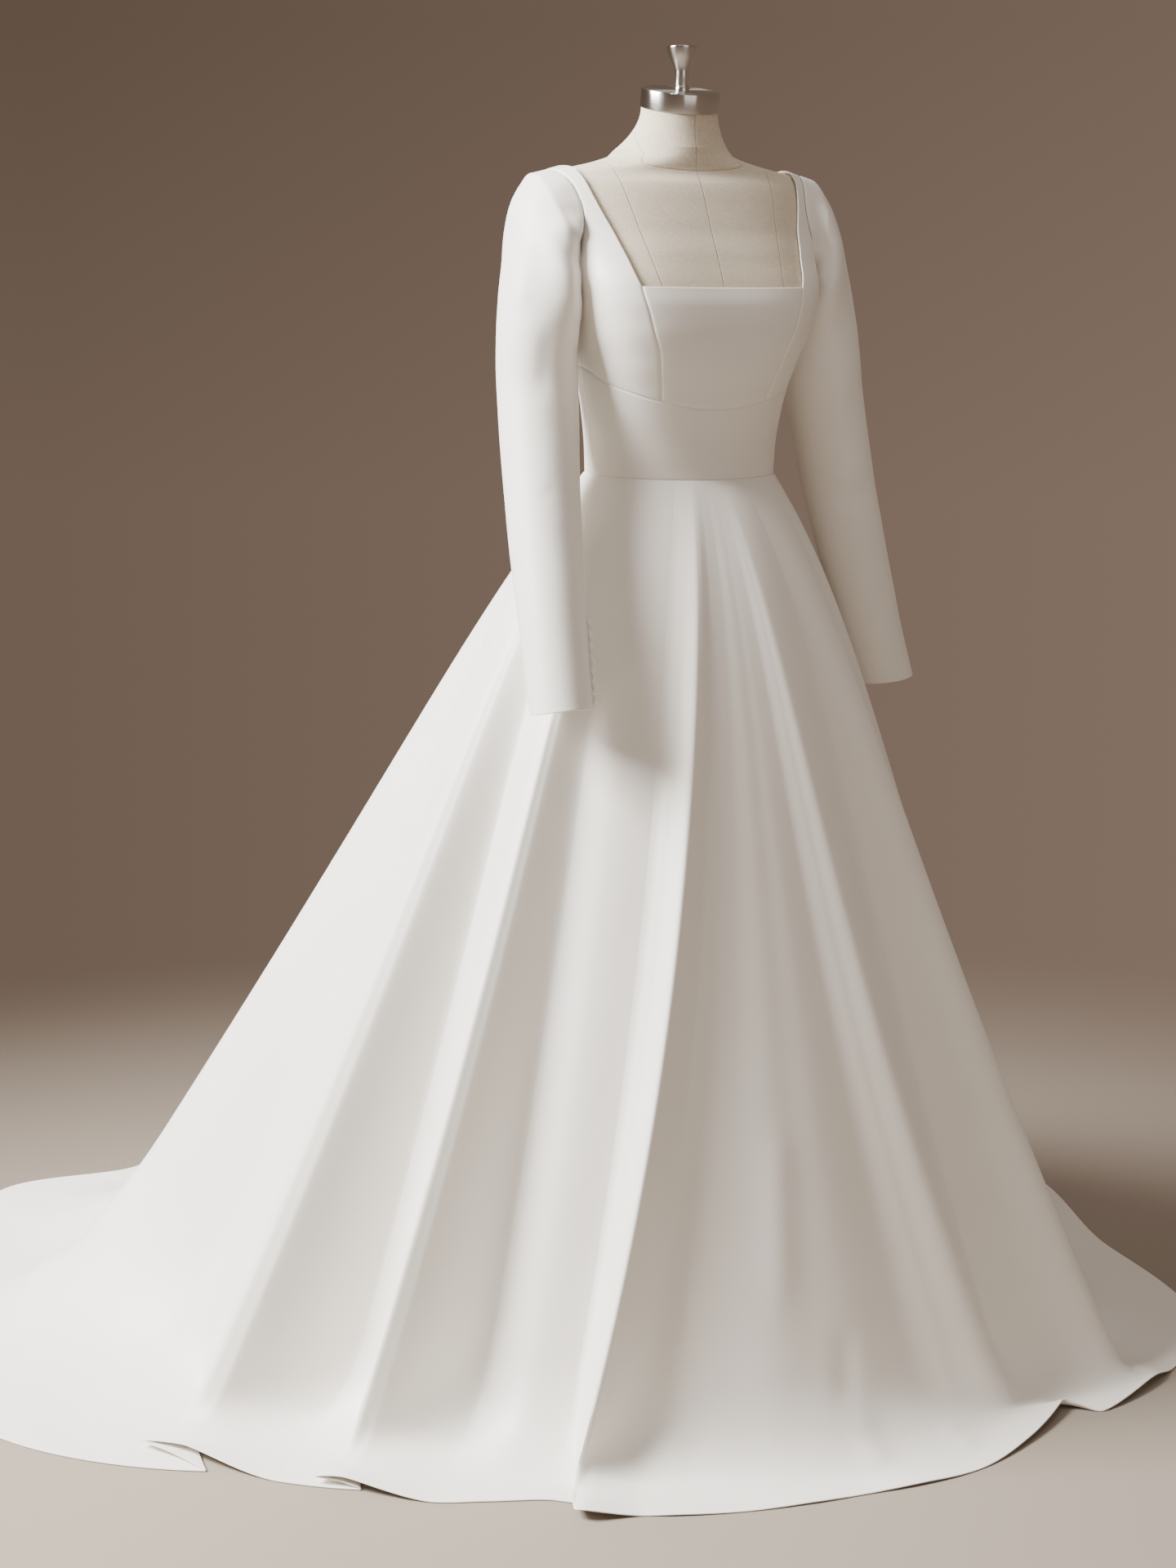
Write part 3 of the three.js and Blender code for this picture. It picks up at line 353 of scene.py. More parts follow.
# Creases of the skirt: soft ridges and troughs, each along a line between two points of the cloth
SKIRT_CREASES = [
    (-138, -366, 300, -157, -410, 105, 14, 4),
    (-173, -392, 150, -202, -458, 6, 12, 5),
    (-198, -381, 130, -228, -458, 2, 15, -5),
    (-22, -348, 380, -53, -417, 130, 20, 2.5),
    (28, -428, 140, 18, -449, 45, 15, -3),
    (35, -452, 60, 30, -520, 3, 17, 5),
    (133, -469, 30, 150, -520, 2, 18, 3),
    (-334, -255, 130, -345, -285, 40, 18, 3),
    (-668, 245, 151, -752, 696, 5, 30, 7),
    (-680, 186, 116, -774, 550, 4, 22, -5),
    (-689, 148, 88, -796, 402, 8, 26, 6),
    (170, 363, 596, 279, 599, 163, 24, 5),
    (-101, 378, 650, -183, 684, 163, 28, -5),
    (279, 130, 650, 469, 219, 163, 22, -4),
    (241, -65, 705, 399, -107, 217, 20, 4),
    (-318, 183, 650, -563, 325, 163, 24, 4),
]

# Creases of the sleeves, in the same way. At the head they round the fullness up to the armhole's seam.
SLEEVE_CREASES = {
    "right": [
        (-176, 22, 1427, -156, -30, 1398, 9, 4.5),
        (-166, -6, 1418, -153, -54, 1350, 9, 5),
        (-152, -46, 1388, -156, -50, 1290, 24, 9),
        (-158, -58, 1330, -160, -40, 1215, 20, 5),
        (-214, -30, 1372, -222, -34, 1262, 14, 1.6),
        (-190, -60, 1262, -205, -52, 1150, 12, -1.8),
        (-182, -100, 1010, -214, -112, 1040, 11, 1.8),
        (-186, -96, 1040, -220, -100, 1072, 10, -1.8),
        (-190, -176, 860, -226, -182, 842, 9, 1.2),
    ],
    "left": [
        (176, 22, 1427, 158, -22, 1402, 9, 4.5),
        (166, -6, 1418, 153, -54, 1350, 9, 5.5),
        (160, -30, 1408, 168, -66, 1330, 7, -4),
        (174, -26, 1404, 184, -62, 1330, 12, 3.5),
        (156, -56, 1318, 178, -60, 1296, 8, 2.4),
        (150, -50, 1306, 172, -60, 1280, 7, -2.2),
        (200, -58, 1210, 178, -56, 1120, 12, 2),
        (182, -60, 1060, 226, -62, 1090, 12, 2),
        (186, -62, 1030, 232, -62, 1060, 11, -2),
        (262, -52, 880, 232, -56, 852, 9, 1.3),
    ],
}

# Gores of the skirt: the folds where each begins and ends, and its cut: width at the hem, length and area
GORES = [
    ("skirt_back_right", "centre_back", "valley_3", 1.30, 1.65, 0.83),
    ("skirt_side_right", "valley_3", "valley_5", 1.10, 1.45, 0.68),
    ("skirt_side_front_right", "valley_5", "valley_7", 0.46, 1.27, 0.33),
    ("skirt_front", "valley_7", "valley_12", 0.85, 1.22, 0.49),
    ("skirt_side_front_left", "valley_12", "valley_14", 0.68, 1.27, 0.47),
    ("skirt_side_left", "valley_14", "valley_15", 0.58, 1.33, 0.35),
    ("skirt_back_left", "valley_15", "centre_back", 1.10, 1.62, 0.76),
]

# Pieces of the bodice and the sleeves: the length and width that their grids are spaced for, and the cut's
# width, length and area in metres
PIECES = {
    "bodice_side_front": {"grid": (330, 72), "cut": (0.13, 0.36, 0.026)},
    "bodice_side_back": {"grid": (330, 72), "cut": (0.12, 0.30, 0.019)},
    "bodice_centre_back": {"grid": (135, 88), "cut": (0.11, 0.14, 0.0125)},
    "bodice_centre_front": {"grid": (150, 190), "cut": (0.22, 0.16, 0.0255)},
    "midriff_front": {"grid": (110, 390), "cut": (0.40, 0.12, 0.0385)},
    "midriff_back": {"grid": (110, 150), "cut": (0.18, 0.14, 0.0225)},
    "sleeve_under": {"grid": (680, 110), "cut": (0.13, 0.70, 0.056)},
    "sleeve_upper": {"grid": (680, 200), "cut": (0.25, 0.70, 0.116)},
}

# Bodice: how a guide point is carried onto the body
SHOULDER_CORE = 1402.0  # height of the core's top, from which the shoulders are seen
CORE_BEHIND = 16.0  # how far behind the axis the core stands there
RAY_REACH = 300.0
RAY_HALVINGS = 40
NORMAL_STEP = 0.5
GUIDE_RADIUS = 100.0  # of the midriff's guides, well inside the body
SIDE_SEAM = math.atan2(128, -4)  # azimuth of the side seam
BEND_ROWS = 3  # rows over which the bend to the seam under the bust fades out
FRONT_BOW = 0.12
NECKLINE_DIP = 1.0
FREEING_ROWS = 0.05  # rows over which a panel's edge turns from sewn to free, on each side of the corner

# Skirt: its grid
FOLDS_REPEATED = 3  # rows of the fold table that are repeated at each end
CONE_WEIGHTS = np.array([1, 2, 3, 2, 1]) / 9
BEND_SHARE = 0.8  # greatest share of the apron that the bend takes
FEWEST_LINES = 6  # between two folds
FALL_LINES = np.concatenate([[6.5], np.linspace(10, 1000, 84)])  # down the fall, after a seam's own lines
BEND_LINES = 17
APRON_LENGTH = 150.0  # for which the hem's own lines are spaced
APRON_LINES = 16

# Covered buttons and their loops
BUTTON_RADIUS = 5.0
BUTTON_HEIGHT = 5.0
BUTTON_COUNT = 7
BUTTON_PITCH = 15.0
BUTTON_FIRST = 10.0  # from the cuff's edge to the first
BUTTON_ANGLE = 7.0  # from the opening seam, in degrees round the sleeve
BUTTON_LIFT = 0.8
BUTTON_SEGMENTS = 28
BUTTON_FOOT = table("radius height", [(0.001, 0), (0.5, 0), (0.86, 0.05)])  # shares, from the middle out
DOME_START = 0.3  # share of the height where the dome begins
DOME_POWER = 0.75
DOME_RINGS = 15
LOOP_RADIUS = 0.8
LOOP_REACH = BUTTON_RADIUS + 0.4
LOOP_LIFT = 0.9
LOOP_POINTS = 25
CORD_SIDES = 8
CORD_SLANT = np.array([1e-6, 2e-6, 1e-6])
WALKED_ROWS, WALKED_POINTS = 4, 1601  # stretch of the sleeve that is measured for the buttons
ROW_STEP, ANGLE_STEP = 0.05, 4.0  # to each side of a button, for its directions

# Dress form
FORM_SEGMENTS = 360
TORSO_LEVELS = np.linspace(888, 1290, 50)
SHOULDER_LEVELS = np.linspace(1296, 1452, 53)
FORM_LEVELS = np.concatenate([TORSO_LEVELS, SHOULDER_LEVELS, [1455, 1458, NECK_START]])
BOTTOM_EDGE_LEVEL = 880.0
BOTTOM_ROUNDING = 12.0
NECK_MIDDLE = 31.0  # how far behind the axis the neck's foot has its middle
NECK_INSET = 1.5  # how far inside the cap's rim the linen ends
NECK_RINGS = 30
CAP_SHARE = 0.001  # size to which the cap of a closed end is drawn together
TURNED_SEGMENTS = 96

# Seams of the form's linen cover, in metres
FORM_SEAM_FOOT = (0.079, 1.309)  # the front seams: distance from the centre front at this height
FORM_SEAM_LEAN = 0.16  # how much they spread on the way up
NECK_SEAM_FOOT = (-0.045, 1.434)  # the neck's seam in front: depth and height
NECK_SEAM_RISE = 0.75  # how much it rises towards the back
STITCH_HALF = 0.0011  # half width of a seam

# Sockets of the node that mixes colours
MIX_SHARE, MIX_FROM, MIX_TO, MIX_RESULT = 0, 6, 7, 2

# Studio, in metres
CAMERA_AZIMUTH = math.radians(-24.0)
CAMERA_HEIGHT = 1.25
CAMERA_DISTANCE = 2.95
CAMERA_PITCH = math.radians(10.75)
CAMERA_PAN = math.radians(2.17)
CAMERA_LENS = 54.94
PAPER_AZIMUTH = math.radians(-24.0)  # side that the backdrop's paper faces; its painted light and shade run across it
FLOOR_REACH = 60.0
FLOOR_MIDDLE = (-0.3, -0.9, 0.0)
FLOOR_FADE = (0.7, 2.9)  # distances from that middle between which the floor gives way, a painted fall-off of the light
LIGHT_TARGET = (0.0, 0.0, 0.9)
# Softboxes: name, azimuth, elevation, distance, size, power setting and colour
LIGHTS = [
    ("key_softbox", -103, 35, 4.2, 2.0, "key", "#FFFDFA"),
    ("overhead_softbox", -20, 80, 3.6, 3.0, "overhead", "#FFFCF8"),
    ("front_fill", 5, 15, 5.0, 3.0, "fill", "#FFF6EE"),
]


# Shape functions


def curve(at, x, y):
    """A cubic through each point. Its slope there is the harmonic mean of the rises on both sides, or level
    where the points turn back, so it never swings past them."""
    rise = np.diff(y) / np.diff(x)
    before, after = rise[:-1], rise[1:]
    same_way = before * after > 0
    both = np.where(same_way, before + after, 1.0)
    slope = np.concatenate([rise[:1], np.where(same_way, 2 * before * after / both, 0.0), rise[-1:]])
    t = np.clip(at, x[0], x[-1])
    i = np.clip(np.searchsorted(x, t, side="right") - 1, 0, len(x) - 2)
    span = x[i + 1] - x[i]
    u = (t - x[i]) / span
    v = 1 - u
    ends = y[i] * v * v * (1 + 2 * u) + y[i + 1] * u * u * (3 - 2 * u)
    return ends + span * u * v * (slope[i] * v - slope[i + 1] * u)


def smooth(x, low, high):
    """0 below low, 1 above high, and an S between them."""
    t = np.clip((x - low) / (high - low), 0, 1)
    return t * t * (3 - 2 * t)


def mix(a, b, share):
    """a where the share is 0 and b where it is 1, in proportion between them."""
    return a + (b - a) * share


def unit(vectors):
    """Each vector over its own length."""
    return vectors / np.maximum(np.linalg.norm(vectors, axis=-1, keepdims=True), 1e-9)


def stack(x, y, z):
    """Points from three arrays that fit one grid."""
    return np.stack(np.broadcast_arrays(x, y, z), axis=-1).astype(float)


def mirrored(points):
    """The same points on the wearer's other side."""
    return points * np.array([-1.0, 1.0, 1.0])


TURNS = {"left": np.asarray, "right": mirrored}


def section(height, forward):
    """Half width, depth and power of the body's section, with the depth of its front or back half."""
    names = ("side", "front", "back", "square")
    side, front, back, square = (curve(height, BODY["height"], BODY[name]) for name in names)
    return side, np.where(forward, front, back), square


def body_value(at):
    """Below 1 inside the body: |x / half width| and |y / depth|, each to the section's power, added."""
    behind = at[..., 1] - curve(at[..., 2], BODY["height"], BODY["middle"])
    side, depth, square = section(at[..., 2], behind < 0)
    return np.abs(at[..., 0] / side) ** square + np.abs(behind / depth) ** square


def body_normal(at):
    """Outward direction: how the body's value differs between the two sides of a point, on each axis."""
    steps = NORMAL_STEP * np.eye(3)
    return unit(np.stack([body_value(at + step) - body_value(at - step) for step in steps], axis=-1))


def section_radius(height, azimuth):
    """Radius of the body's section from its middle: the squared ellipse solved for the azimuth."""
    side, depth, square = section(height, np.cos(azimuth) > 0)
    total = np.abs(np.sin(azimuth) / side) ** square + np.abs(np.cos(azimuth) / depth) ** square
    return total ** (-1 / square)


def on_body(guides):
    """The body's surface as seen from its core through each guide point, found by halving the ray."""
    height = guides[..., 2]
    share = smooth(height, NECKLINE, SHOULDER_CORE)
    core = stack(guides[..., 0] * share, CORE_BEHIND * share, np.minimum(height, SHOULDER_CORE))
    ray = unit(guides - core)
    near = np.zeros(height.shape)
    far = np.full(height.shape, RAY_REACH)
    for _ in range(RAY_HALVINGS):
        middle = (near + far) / 2
        inside = body_value(core + ray * middle[..., None]) < 1
        near = np.where(inside, middle, near)
        far = np.where(inside, far, middle)
    return core + ray * near[..., None]


def waist_height(azimuth):
    """Height of the waist seam: lowest at the centre front, by one wave of a cosine."""
    return WAIST_SIDE - WAIST_DIP * (0.5 + 0.5 * np.cos(azimuth))


def underbust(azimuth):
    """Height of the seam under the bust, the same on both sides."""
    return curve(np.abs(np.degrees(azimuth)), UNDERBUST["azimuth"], UNDERBUST["height"])


# Grids and meshes


def graded(length, pitch, start=True, end=True):
    """Shares of a length with even steps, and close lines at the ends that are sewn or turned."""
    first = EDGE_LINES[-1] if start else 0.0
    last = length - EDGE_LINES[-1] if end else length
    steps = max(2, int(round((last - first) / pitch)))
    parts = [EDGE_LINES[:-1]] if start else []
    parts.append(np.linspace(first, last, steps + 1))
    if end:
        parts.append(length - EDGE_LINES[:-1][::-1])
    return np.concatenate(parts) / length


def grid_normals(points):
    """Outward side of a grid that closes on itself: its down direction crossed with its round direction."""
    ring = points[:, :-1]
    round_way = np.roll(ring, -1, axis=1) - np.roll(ring, 1, axis=1)
    round_way = np.concatenate([round_way, round_way[:, :1]], axis=1)
    return unit(np.cross(np.gradient(points, axis=0), round_way))


def run_lengths(points, axis):
    """Length along the grid from its first line, in millimetres."""
    steps = np.linalg.norm(np.diff(points, axis=axis), axis=-1)
    pad = [(0, 0), (0, 0)]
    pad[axis] = (1, 0)
    return np.cumsum(np.pad(steps, pad), axis=axis)


def edge_distance(points):
    """Distance of each grid point from each of the four edges, along the grid."""
    across = run_lengths(points, 1)
    down = run_lengths(points, 0)
    return {
        "first_column": across,
        "last_column": across[:, -1:] - across,
        "first_row": down,
        "last_row": down[-1:] - down,
    }


def wall_faces(rows, columns):
    """Quads of a wall with two skins and four rims, for grids numbered row by row, outer skin first."""
    j, i = np.mgrid[0 : rows - 1, 0 : columns - 1]
    outer = (j * columns + i).ravel()
    skin = np.stack([outer, outer + 1, outer + columns + 1, outer + columns], axis=1)
    inside = skin[:, ::-1] + rows * columns
    rim = np.concatenate(
        [
            np.arange(columns),
            np.arange(1, rows) * columns + columns - 1,
            (rows - 1) * columns + np.arange(columns - 2, -1, -1),
            np.arange(rows - 2, 0, -1) * columns,
        ]
    )
    after = np.roll(rim, -1)
    band = np.stack([rim, rim + rows * columns, after + rows * columns, after], axis=1)
    return np.concatenate([skin, inside, band])


def ring_faces(rings, segments):
    """Quads between rings that close on themselves."""
    j, i = np.mgrid[0 : rings - 1, 0:segments]
    after = (i + 1) % segments
    low, high = j * segments, (j + 1) * segments
    return np.stack([low + i, low + after, high + after, high + i], axis=-1).reshape(-1, 4)


def signed_volume(points, faces):
    """Positive when the faces point outwards: the tetrahedra from the middle to each half quad, added."""
    corners = (points - points.mean(axis=0))[faces]
    a, b, c, d = (corners[:, k] for k in range(4))
    first = np.einsum("ij,ij->i", a, np.cross(b, c))
    second = np.einsum("ij,ij->i", a, np.cross(c, d))
    return (first + second).sum() / 6


def make_mesh(name, points, faces, material, uv=None, sharp=50.0):
    """A piece from points in millimetres and quads, turned outwards and smooth up to the sharp angle."""
    if signed_volume(points, faces) < 0:
        faces = faces[:, ::-1]
    mesh = bpy.data.meshes.new(name)
    mesh.vertices.add(len(points))
    mesh.vertices.foreach_set("co", (points * MM).ravel())
    mesh.loops.add(faces.size)
    mesh.loops.foreach_set("vertex_index", faces.ravel())
    mesh.polygons.add(len(faces))
    mesh.polygons.foreach_set("loop_start", np.arange(0, faces.size, 4))
    mesh.polygons.foreach_set("use_smooth", np.ones(len(faces), bool))
    if uv is not None:
        layer = mesh.uv_layers.new(name="cut")
        layer.data.foreach_set("uv", (uv[faces.ravel()] * MM).ravel())
    mesh.update(calc_edges=True)
    mesh.validate()
    mesh.set_sharp_from_angle(angle=math.radians(sharp))
    mesh.materials.append(material)
    piece = bpy.data.objects.new(name, mesh)
    bpy.context.scene.collection.objects.link(piece)
    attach(piece, "root")
    return piece


def cloth_wall(name, points, normals, edges, dip):
    """A wall of satin whose edges are sewn or free, or change from one to the other along their length. A
    sewn edge dips as a bell of the distance from it. A free edge has a low roll beside it and a rounded rim,
    whose half thickness follows a quarter circle."""
    roll = bpy.context.scene.dress_settings.roll / MM
    distance = edge_distance(points)
    drop = np.zeros(points.shape[:2])
    half = np.full(points.shape[:2], CLOTH / 2)
    for edge, free in edges.items():
        drop -= (1 - free) * dip * np.exp(-((distance[edge] / SEAM_REACH) ** 2))
        drop += free * roll * np.exp(-(((distance[edge] - ROLL_AT) / ROLL_WIDTH) ** 2))
        near = np.clip(distance[edge] / (CLOTH / 2), 0, 1)
        half *= mix(1.0, np.sqrt(np.maximum(1 - (1 - near) ** 2, RIM_FLOOR)), free)
    middle = points - normals * (CLOTH / 2)
    outer = middle + normals * (half + drop)[..., None]
    inner = middle - normals * half[..., None]
    skins = np.concatenate([outer.reshape(-1, 3), inner.reshape(-1, 3)])
    across = distance["first_column"]
    uv = np.stack([across - across[:, -1:] / 2, distance["first_row"]], axis=-1)
    uv = np.concatenate([uv.reshape(-1, 2)] * 2)
    piece = make_mesh(f"{name}_satin", skins, wall_faces(*points.shape[:2]), satin(), uv)
    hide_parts(name)


def ring_piece(name, finish, rings, material, sharp=50.0):
    """A closed piece through rings that close on themselves, in place of the solid of the same name."""
    faces = ring_faces(*rings.shape[:2])
    piece = make_mesh(f"{name}_{finish}", rings.reshape(-1, 3), faces, material, sharp=sharp)
    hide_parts(name)


def add_creases(points, normals, creases):
    """Moves the cloth along its normals. Each crease is a bell of the distance from a straight line between
    two points on the cloth, and rises and dies away along that line."""
    total = np.zeros(points.shape[:2])
    for x, y, z, to_x, to_y, to_z, width, height in creases:
        start = np.array([x, y, z], float)
        along = np.array([to_x, to_y, to_z]) - start
        share = np.clip((points - start) @ along / (along @ along), 0, 1)
        distance = np.linalg.norm(points - start - share[..., None] * along, axis=-1)
        ends = smooth(share, 0, CREASE_END) * smooth(1 - share, 0, CREASE_END)
        total += height * ends * np.exp(-((distance / width) ** 2))
    return points + normals * total[..., None]


# Bodice


def panel_edges(rows, at):
    """Points of a panel's two edges by row: one smooth curve below the underarm's corner, another above."""

    def read(name):
        low = curve(at, rows["row"][: CORNER_ROW + 1], rows[name][: CORNER_ROW + 1])
        high = curve(at, rows["row"][CORNER_ROW:], rows[name][CORNER_ROW:])
        return np.where(at < CORNER_ROW, low, high)

    return [stack(*(read(f"{edge}_{axis}") for axis in "xyz")) for edge in ("in", "out")]


def side_guides(rows, height, width):
    """Guides between a panel's two edges. Their lower ends are bent to the seam under the bust, and the bend
    fades out over the first rows of the table."""
    row = (graded(height, PANEL_PITCH) * LAST_ROW)[:, None]
    u = graded(width, PANEL_PITCH)[None, :, None]
    guides = mix(*panel_edges(rows, row), u)
    low = mix(*panel_edges(rows, np.zeros((1, 1))), u)
    fade = np.maximum(0, 1 - row / BEND_ROWS)
    guides[..., 2] += fade * (underbust(np.arctan2(low[..., 0], -low[..., 1])) - low[..., 2])
    return guides, row


def centre_front_guides(height, width):
    """Guides straight across between the two princess seams, bowed forward by a share of the depth, with a
    neckline that dips a little in the middle."""
    share = graded(height, PANEL_PITCH)[:, None]
    row = CORNER_ROW * share
    seam, _ = panel_edges(SIDE_FRONT, row)
    foot, _ = panel_edges(SIDE_FRONT, np.zeros((1, 1)))
    across = 2 * graded(width, PANEL_PITCH)[None, :] - 1
    x = seam[..., 0] * across
    y = seam[..., 1] * (1 + FRONT_BOW * (1 - across**2))
    fade = np.maximum(0, 1 - row / BEND_ROWS)
    bend = underbust(np.arctan2(np.abs(x), -y)) - foot[..., 2]
    return stack(x, y, seam[..., 2] + fade * bend - NECKLINE_DIP * share * (1 - across**2))


def centre_back_guides(height, width):
    """Half of the centre back, from the centre seam out to the side back panel."""
    seam, _ = panel_edges(SIDE_BACK, BACK_CORNER_ROW * graded(height, PANEL_PITCH)[:, None])
    u = graded(width, PANEL_PITCH)[None, :]
    return stack(seam[..., 0] * u, seam[..., 1], seam[..., 2])


def midriff_guides(first, last, height, width):
    """Guides between the waist seam and the seam under the bust, by azimuth."""
    turn = mix(first, last, graded(width, PANEL_PITCH))[None, :]
    share = graded(height, PANEL_PITCH)[:, None]
    level = mix(waist_height(turn), underbust(turn), share)
    return stack(GUIDE_RADIUS * np.sin(turn), -GUIDE_RADIUS * np.cos(turn), level)


def build_bodice(settings):
    """Every piece is its guides moved onto the body, with a wall inside them."""

    def add(name, guides, edges):
        points = on_body(guides)
        normals = body_normal(points)
        cloth_wall(name, points, normals, edges, settings.seam_dip / MM)

    side_panels = (
        ("bodice_side_front", SIDE_FRONT, CORNER_ROW),
        ("bodice_side_back", SIDE_BACK, BACK_CORNER_ROW),
    )
    midriff = (
        ("midriff_front", "midriff_front", -SIDE_SEAM, SIDE_SEAM),
        ("midriff_back_left", "midriff_back", SIDE_SEAM, math.pi),
        ("midriff_back_right", "midriff_back", -math.pi, -SIDE_SEAM),
    )
    for side in SIDES:
        for kind, rows, corner in side_panels:
            guides, row = side_guides(rows, *PIECES[kind]["grid"])
            neck_edge = smooth(row, corner - FREEING_ROWS, corner + FREEING_ROWS)
            add(f"{kind}_{side}", TURNS[side](guides), {**ALL_SEWN, "first_column": neck_edge})
        kind = "bodice_centre_back"
        guides = centre_back_guides(*PIECES[kind]["grid"])
        add(f"{kind}_{side}", TURNS[side](guides), FREE_AT_LAST)
    kind = "bodice_centre_front"
    add(kind, centre_front_guides(*PIECES[kind]["grid"]), FREE_AT_LAST)
    for name, kind, first, last in midriff:
        add(name, midriff_guides(first, last, *PIECES[kind]["grid"]), ALL_SEWN)


# Skirt


def closed_round(values, turn=0.0):
    """A column of the fold table with some rows repeated at each end, a full turn away."""
    return np.concatenate([values[-FOLDS_REPEATED:] - turn, values, values[:FOLDS_REPEATED] + turn])


def fold_at(place):
    """The folds at any place round the skirt, in rows of the table, by a smooth curve through the rows. The
    cone is the landing radius, averaged over neighbouring rows."""
    index = np.arange(-FOLDS_REPEATED, len(FOLD_NAMES) + FOLDS_REPEATED, dtype=float)
    fold = {}
    for key in ("top", "foot", "tip"):
        fold[key] = np.radians(curve(place, index, closed_round(FOLDS[key], 360.0)))
    cone = np.convolve(closed_round(FOLDS["land"])[1:-1], CONE_WEIGHTS, mode="valid")
    for key, values in {**FOLDS, "cone": cone}.items():
        if key not in fold:
            fold[key] = curve(place, index, closed_round(values))
    return fold


def hip_bow(azimuth, depth):
    """How far the fall bows out: a bump t * exp(1 - t) of the depth share, greatest near the front, that
    comes back to nothing at the floor."""
    share = 0.5 + 0.5 * np.cos(azimuth - math.radians(HIP_TURN))
    reach = depth / HIP_DEPTH
    return mix(HIP_BACK, HIP_FRONT, share) * reach * np.exp(1 - reach) * (1 - depth**4)


def fall(fold, depth):
    """Azimuth, radius and height of the hanging cloth: a cone from the waist to the landing radius, with the
    hip's bow, and each fold leaving the cone as a power of the depth share."""
    start = waist_height(fold["top"])
    azimuth = fold["top"] + (fold["foot"] - fold["top"]) * depth**AZIMUTH_DRIFT
    waist = section_radius(start, fold["top"])
    radius = waist + (fold["cone"] - waist) * (depth + hip_bow(azimuth, depth))
    radius = radius + (fold["land"] - fold["cone"]) * depth**FOLD_START
    return azimuth, radius, FLOOR_LIFT + CLOTH / 2 + (start - FLOOR_LIFT) * (1 - depth)


def skirt_surface(place, falls, bends, lies):
    """The skirt by place round it and along its run: the fall, then a quadratic bend whose corner is the
    landing point, then straight out along the floor to the hem, rising there by the fold's lift."""
    fold = fold_at(place[None, :])
    floor = FLOOR_LIFT + CLOTH / 2
    start = waist_height(fold["top"])
    bend_depth = 1 - fold["bend"] / (start - FLOOR_LIFT)
    hanging = fall(fold, bend_depth * falls[:, None])
    azimuth, radius, height = fall(fold, bend_depth)
    apron = fold["hem"] - fold["land"]
    out = np.minimum(fold["bend"], BEND_SHARE * apron)
    q = bends[:, None]
    p = 1 - q
    lean = q * q * (out / apron)
    turning = (
        azimuth + (fold["foot"] - azimuth) * q + (fold["tip"] - fold["foot"]) * lean,
        p * p * radius + 2 * q * p * fold["land"] + q * q * (fold["land"] + out),
        p * p * height + (1 - p * p) * floor + fold["lift"] * lean,
    )
    share = (out + (apron - out) * lies[:, None]) / apron
    lying = (
        fold["foot"] + (fold["tip"] - fold["foot"]) * share,
        fold["land"] + apron * share,
        floor + fold["lift"] * share,
    )
    azimuth, radius, height = (np.concatenate(parts) for parts in zip(hanging, turning, lying))
    return stack(radius * np.sin(azimuth), -radius * np.cos(azimuth), height)


def skirt_places(pitch):
    """Places of the grid's lines round the skirt, in rows of the fold table, and the first line of each
    fold. Between two folds there is a line for each step of the longer way, along the hem or the landing."""
    count = len(FOLD_NAMES)
    step = {key: np.roll(values, -1) - values for key, values in FOLDS.items()}
    tip = np.radians((step["tip"] + 180) % 360 - 180)
    along_hem = np.hypot(tip * FOLDS["hem"], step["hem"])
    along_landing = np.hypot(np.radians(step["foot"] % 360) * FOLDS["land"], step["land"])
    lines = np.maximum(FEWEST_LINES, np.ceil(np.maximum(along_hem, along_landing) / pitch)).astype(int)
    seams = {FOLD_NAMES.index(first) for _, first, *_ in GORES}
    places, first_lines = [], [0]
    for index in range(count):
        shares = graded(lines[index] * pitch, pitch, index in seams, (index + 1) % count in seams)[:-1]
        places.append(index + shares)
        first_lines.append(first_lines[-1] + len(shares))
    return np.concatenate([*places, [float(count)]]), first_lines


def build_skirt(settings):
    """The whole skirt is worked out once, closed round the waist, and cut into its gores."""
    place, first_lines = skirt_places(settings.pitch / MM)
    falls = np.concatenate([EDGE_LINES, FALL_LINES]) / FALL_LINES[-1]
    hem = EDGE_LINES[::-1] / APRON_LENGTH
    lies = np.concatenate([np.linspace(0, 1 - hem[0], APRON_LINES)[1:], 1 - hem[1:]])
    points = skirt_surface(place, falls, np.linspace(0, 1, BEND_LINES)[1:], lies)
    points[:, -1] = points[:, 0]
    points = add_creases(points, grid_normals(points), SKIRT_CREASES)
    normals = grid_normals(points)
    dip = settings.skirt_dip / MM
    for name, begin, end, *cut in GORES:
        first = FOLD_NAMES.index(begin)
        last = FOLD_NAMES.index(end) or len(FOLD_NAMES)
        part = slice(first_lines[first], first_lines[last] + 1)
        cloth_wall(name, points[:, part], normals[:, part], FREE_AT_LAST, dip)


# Sleeves


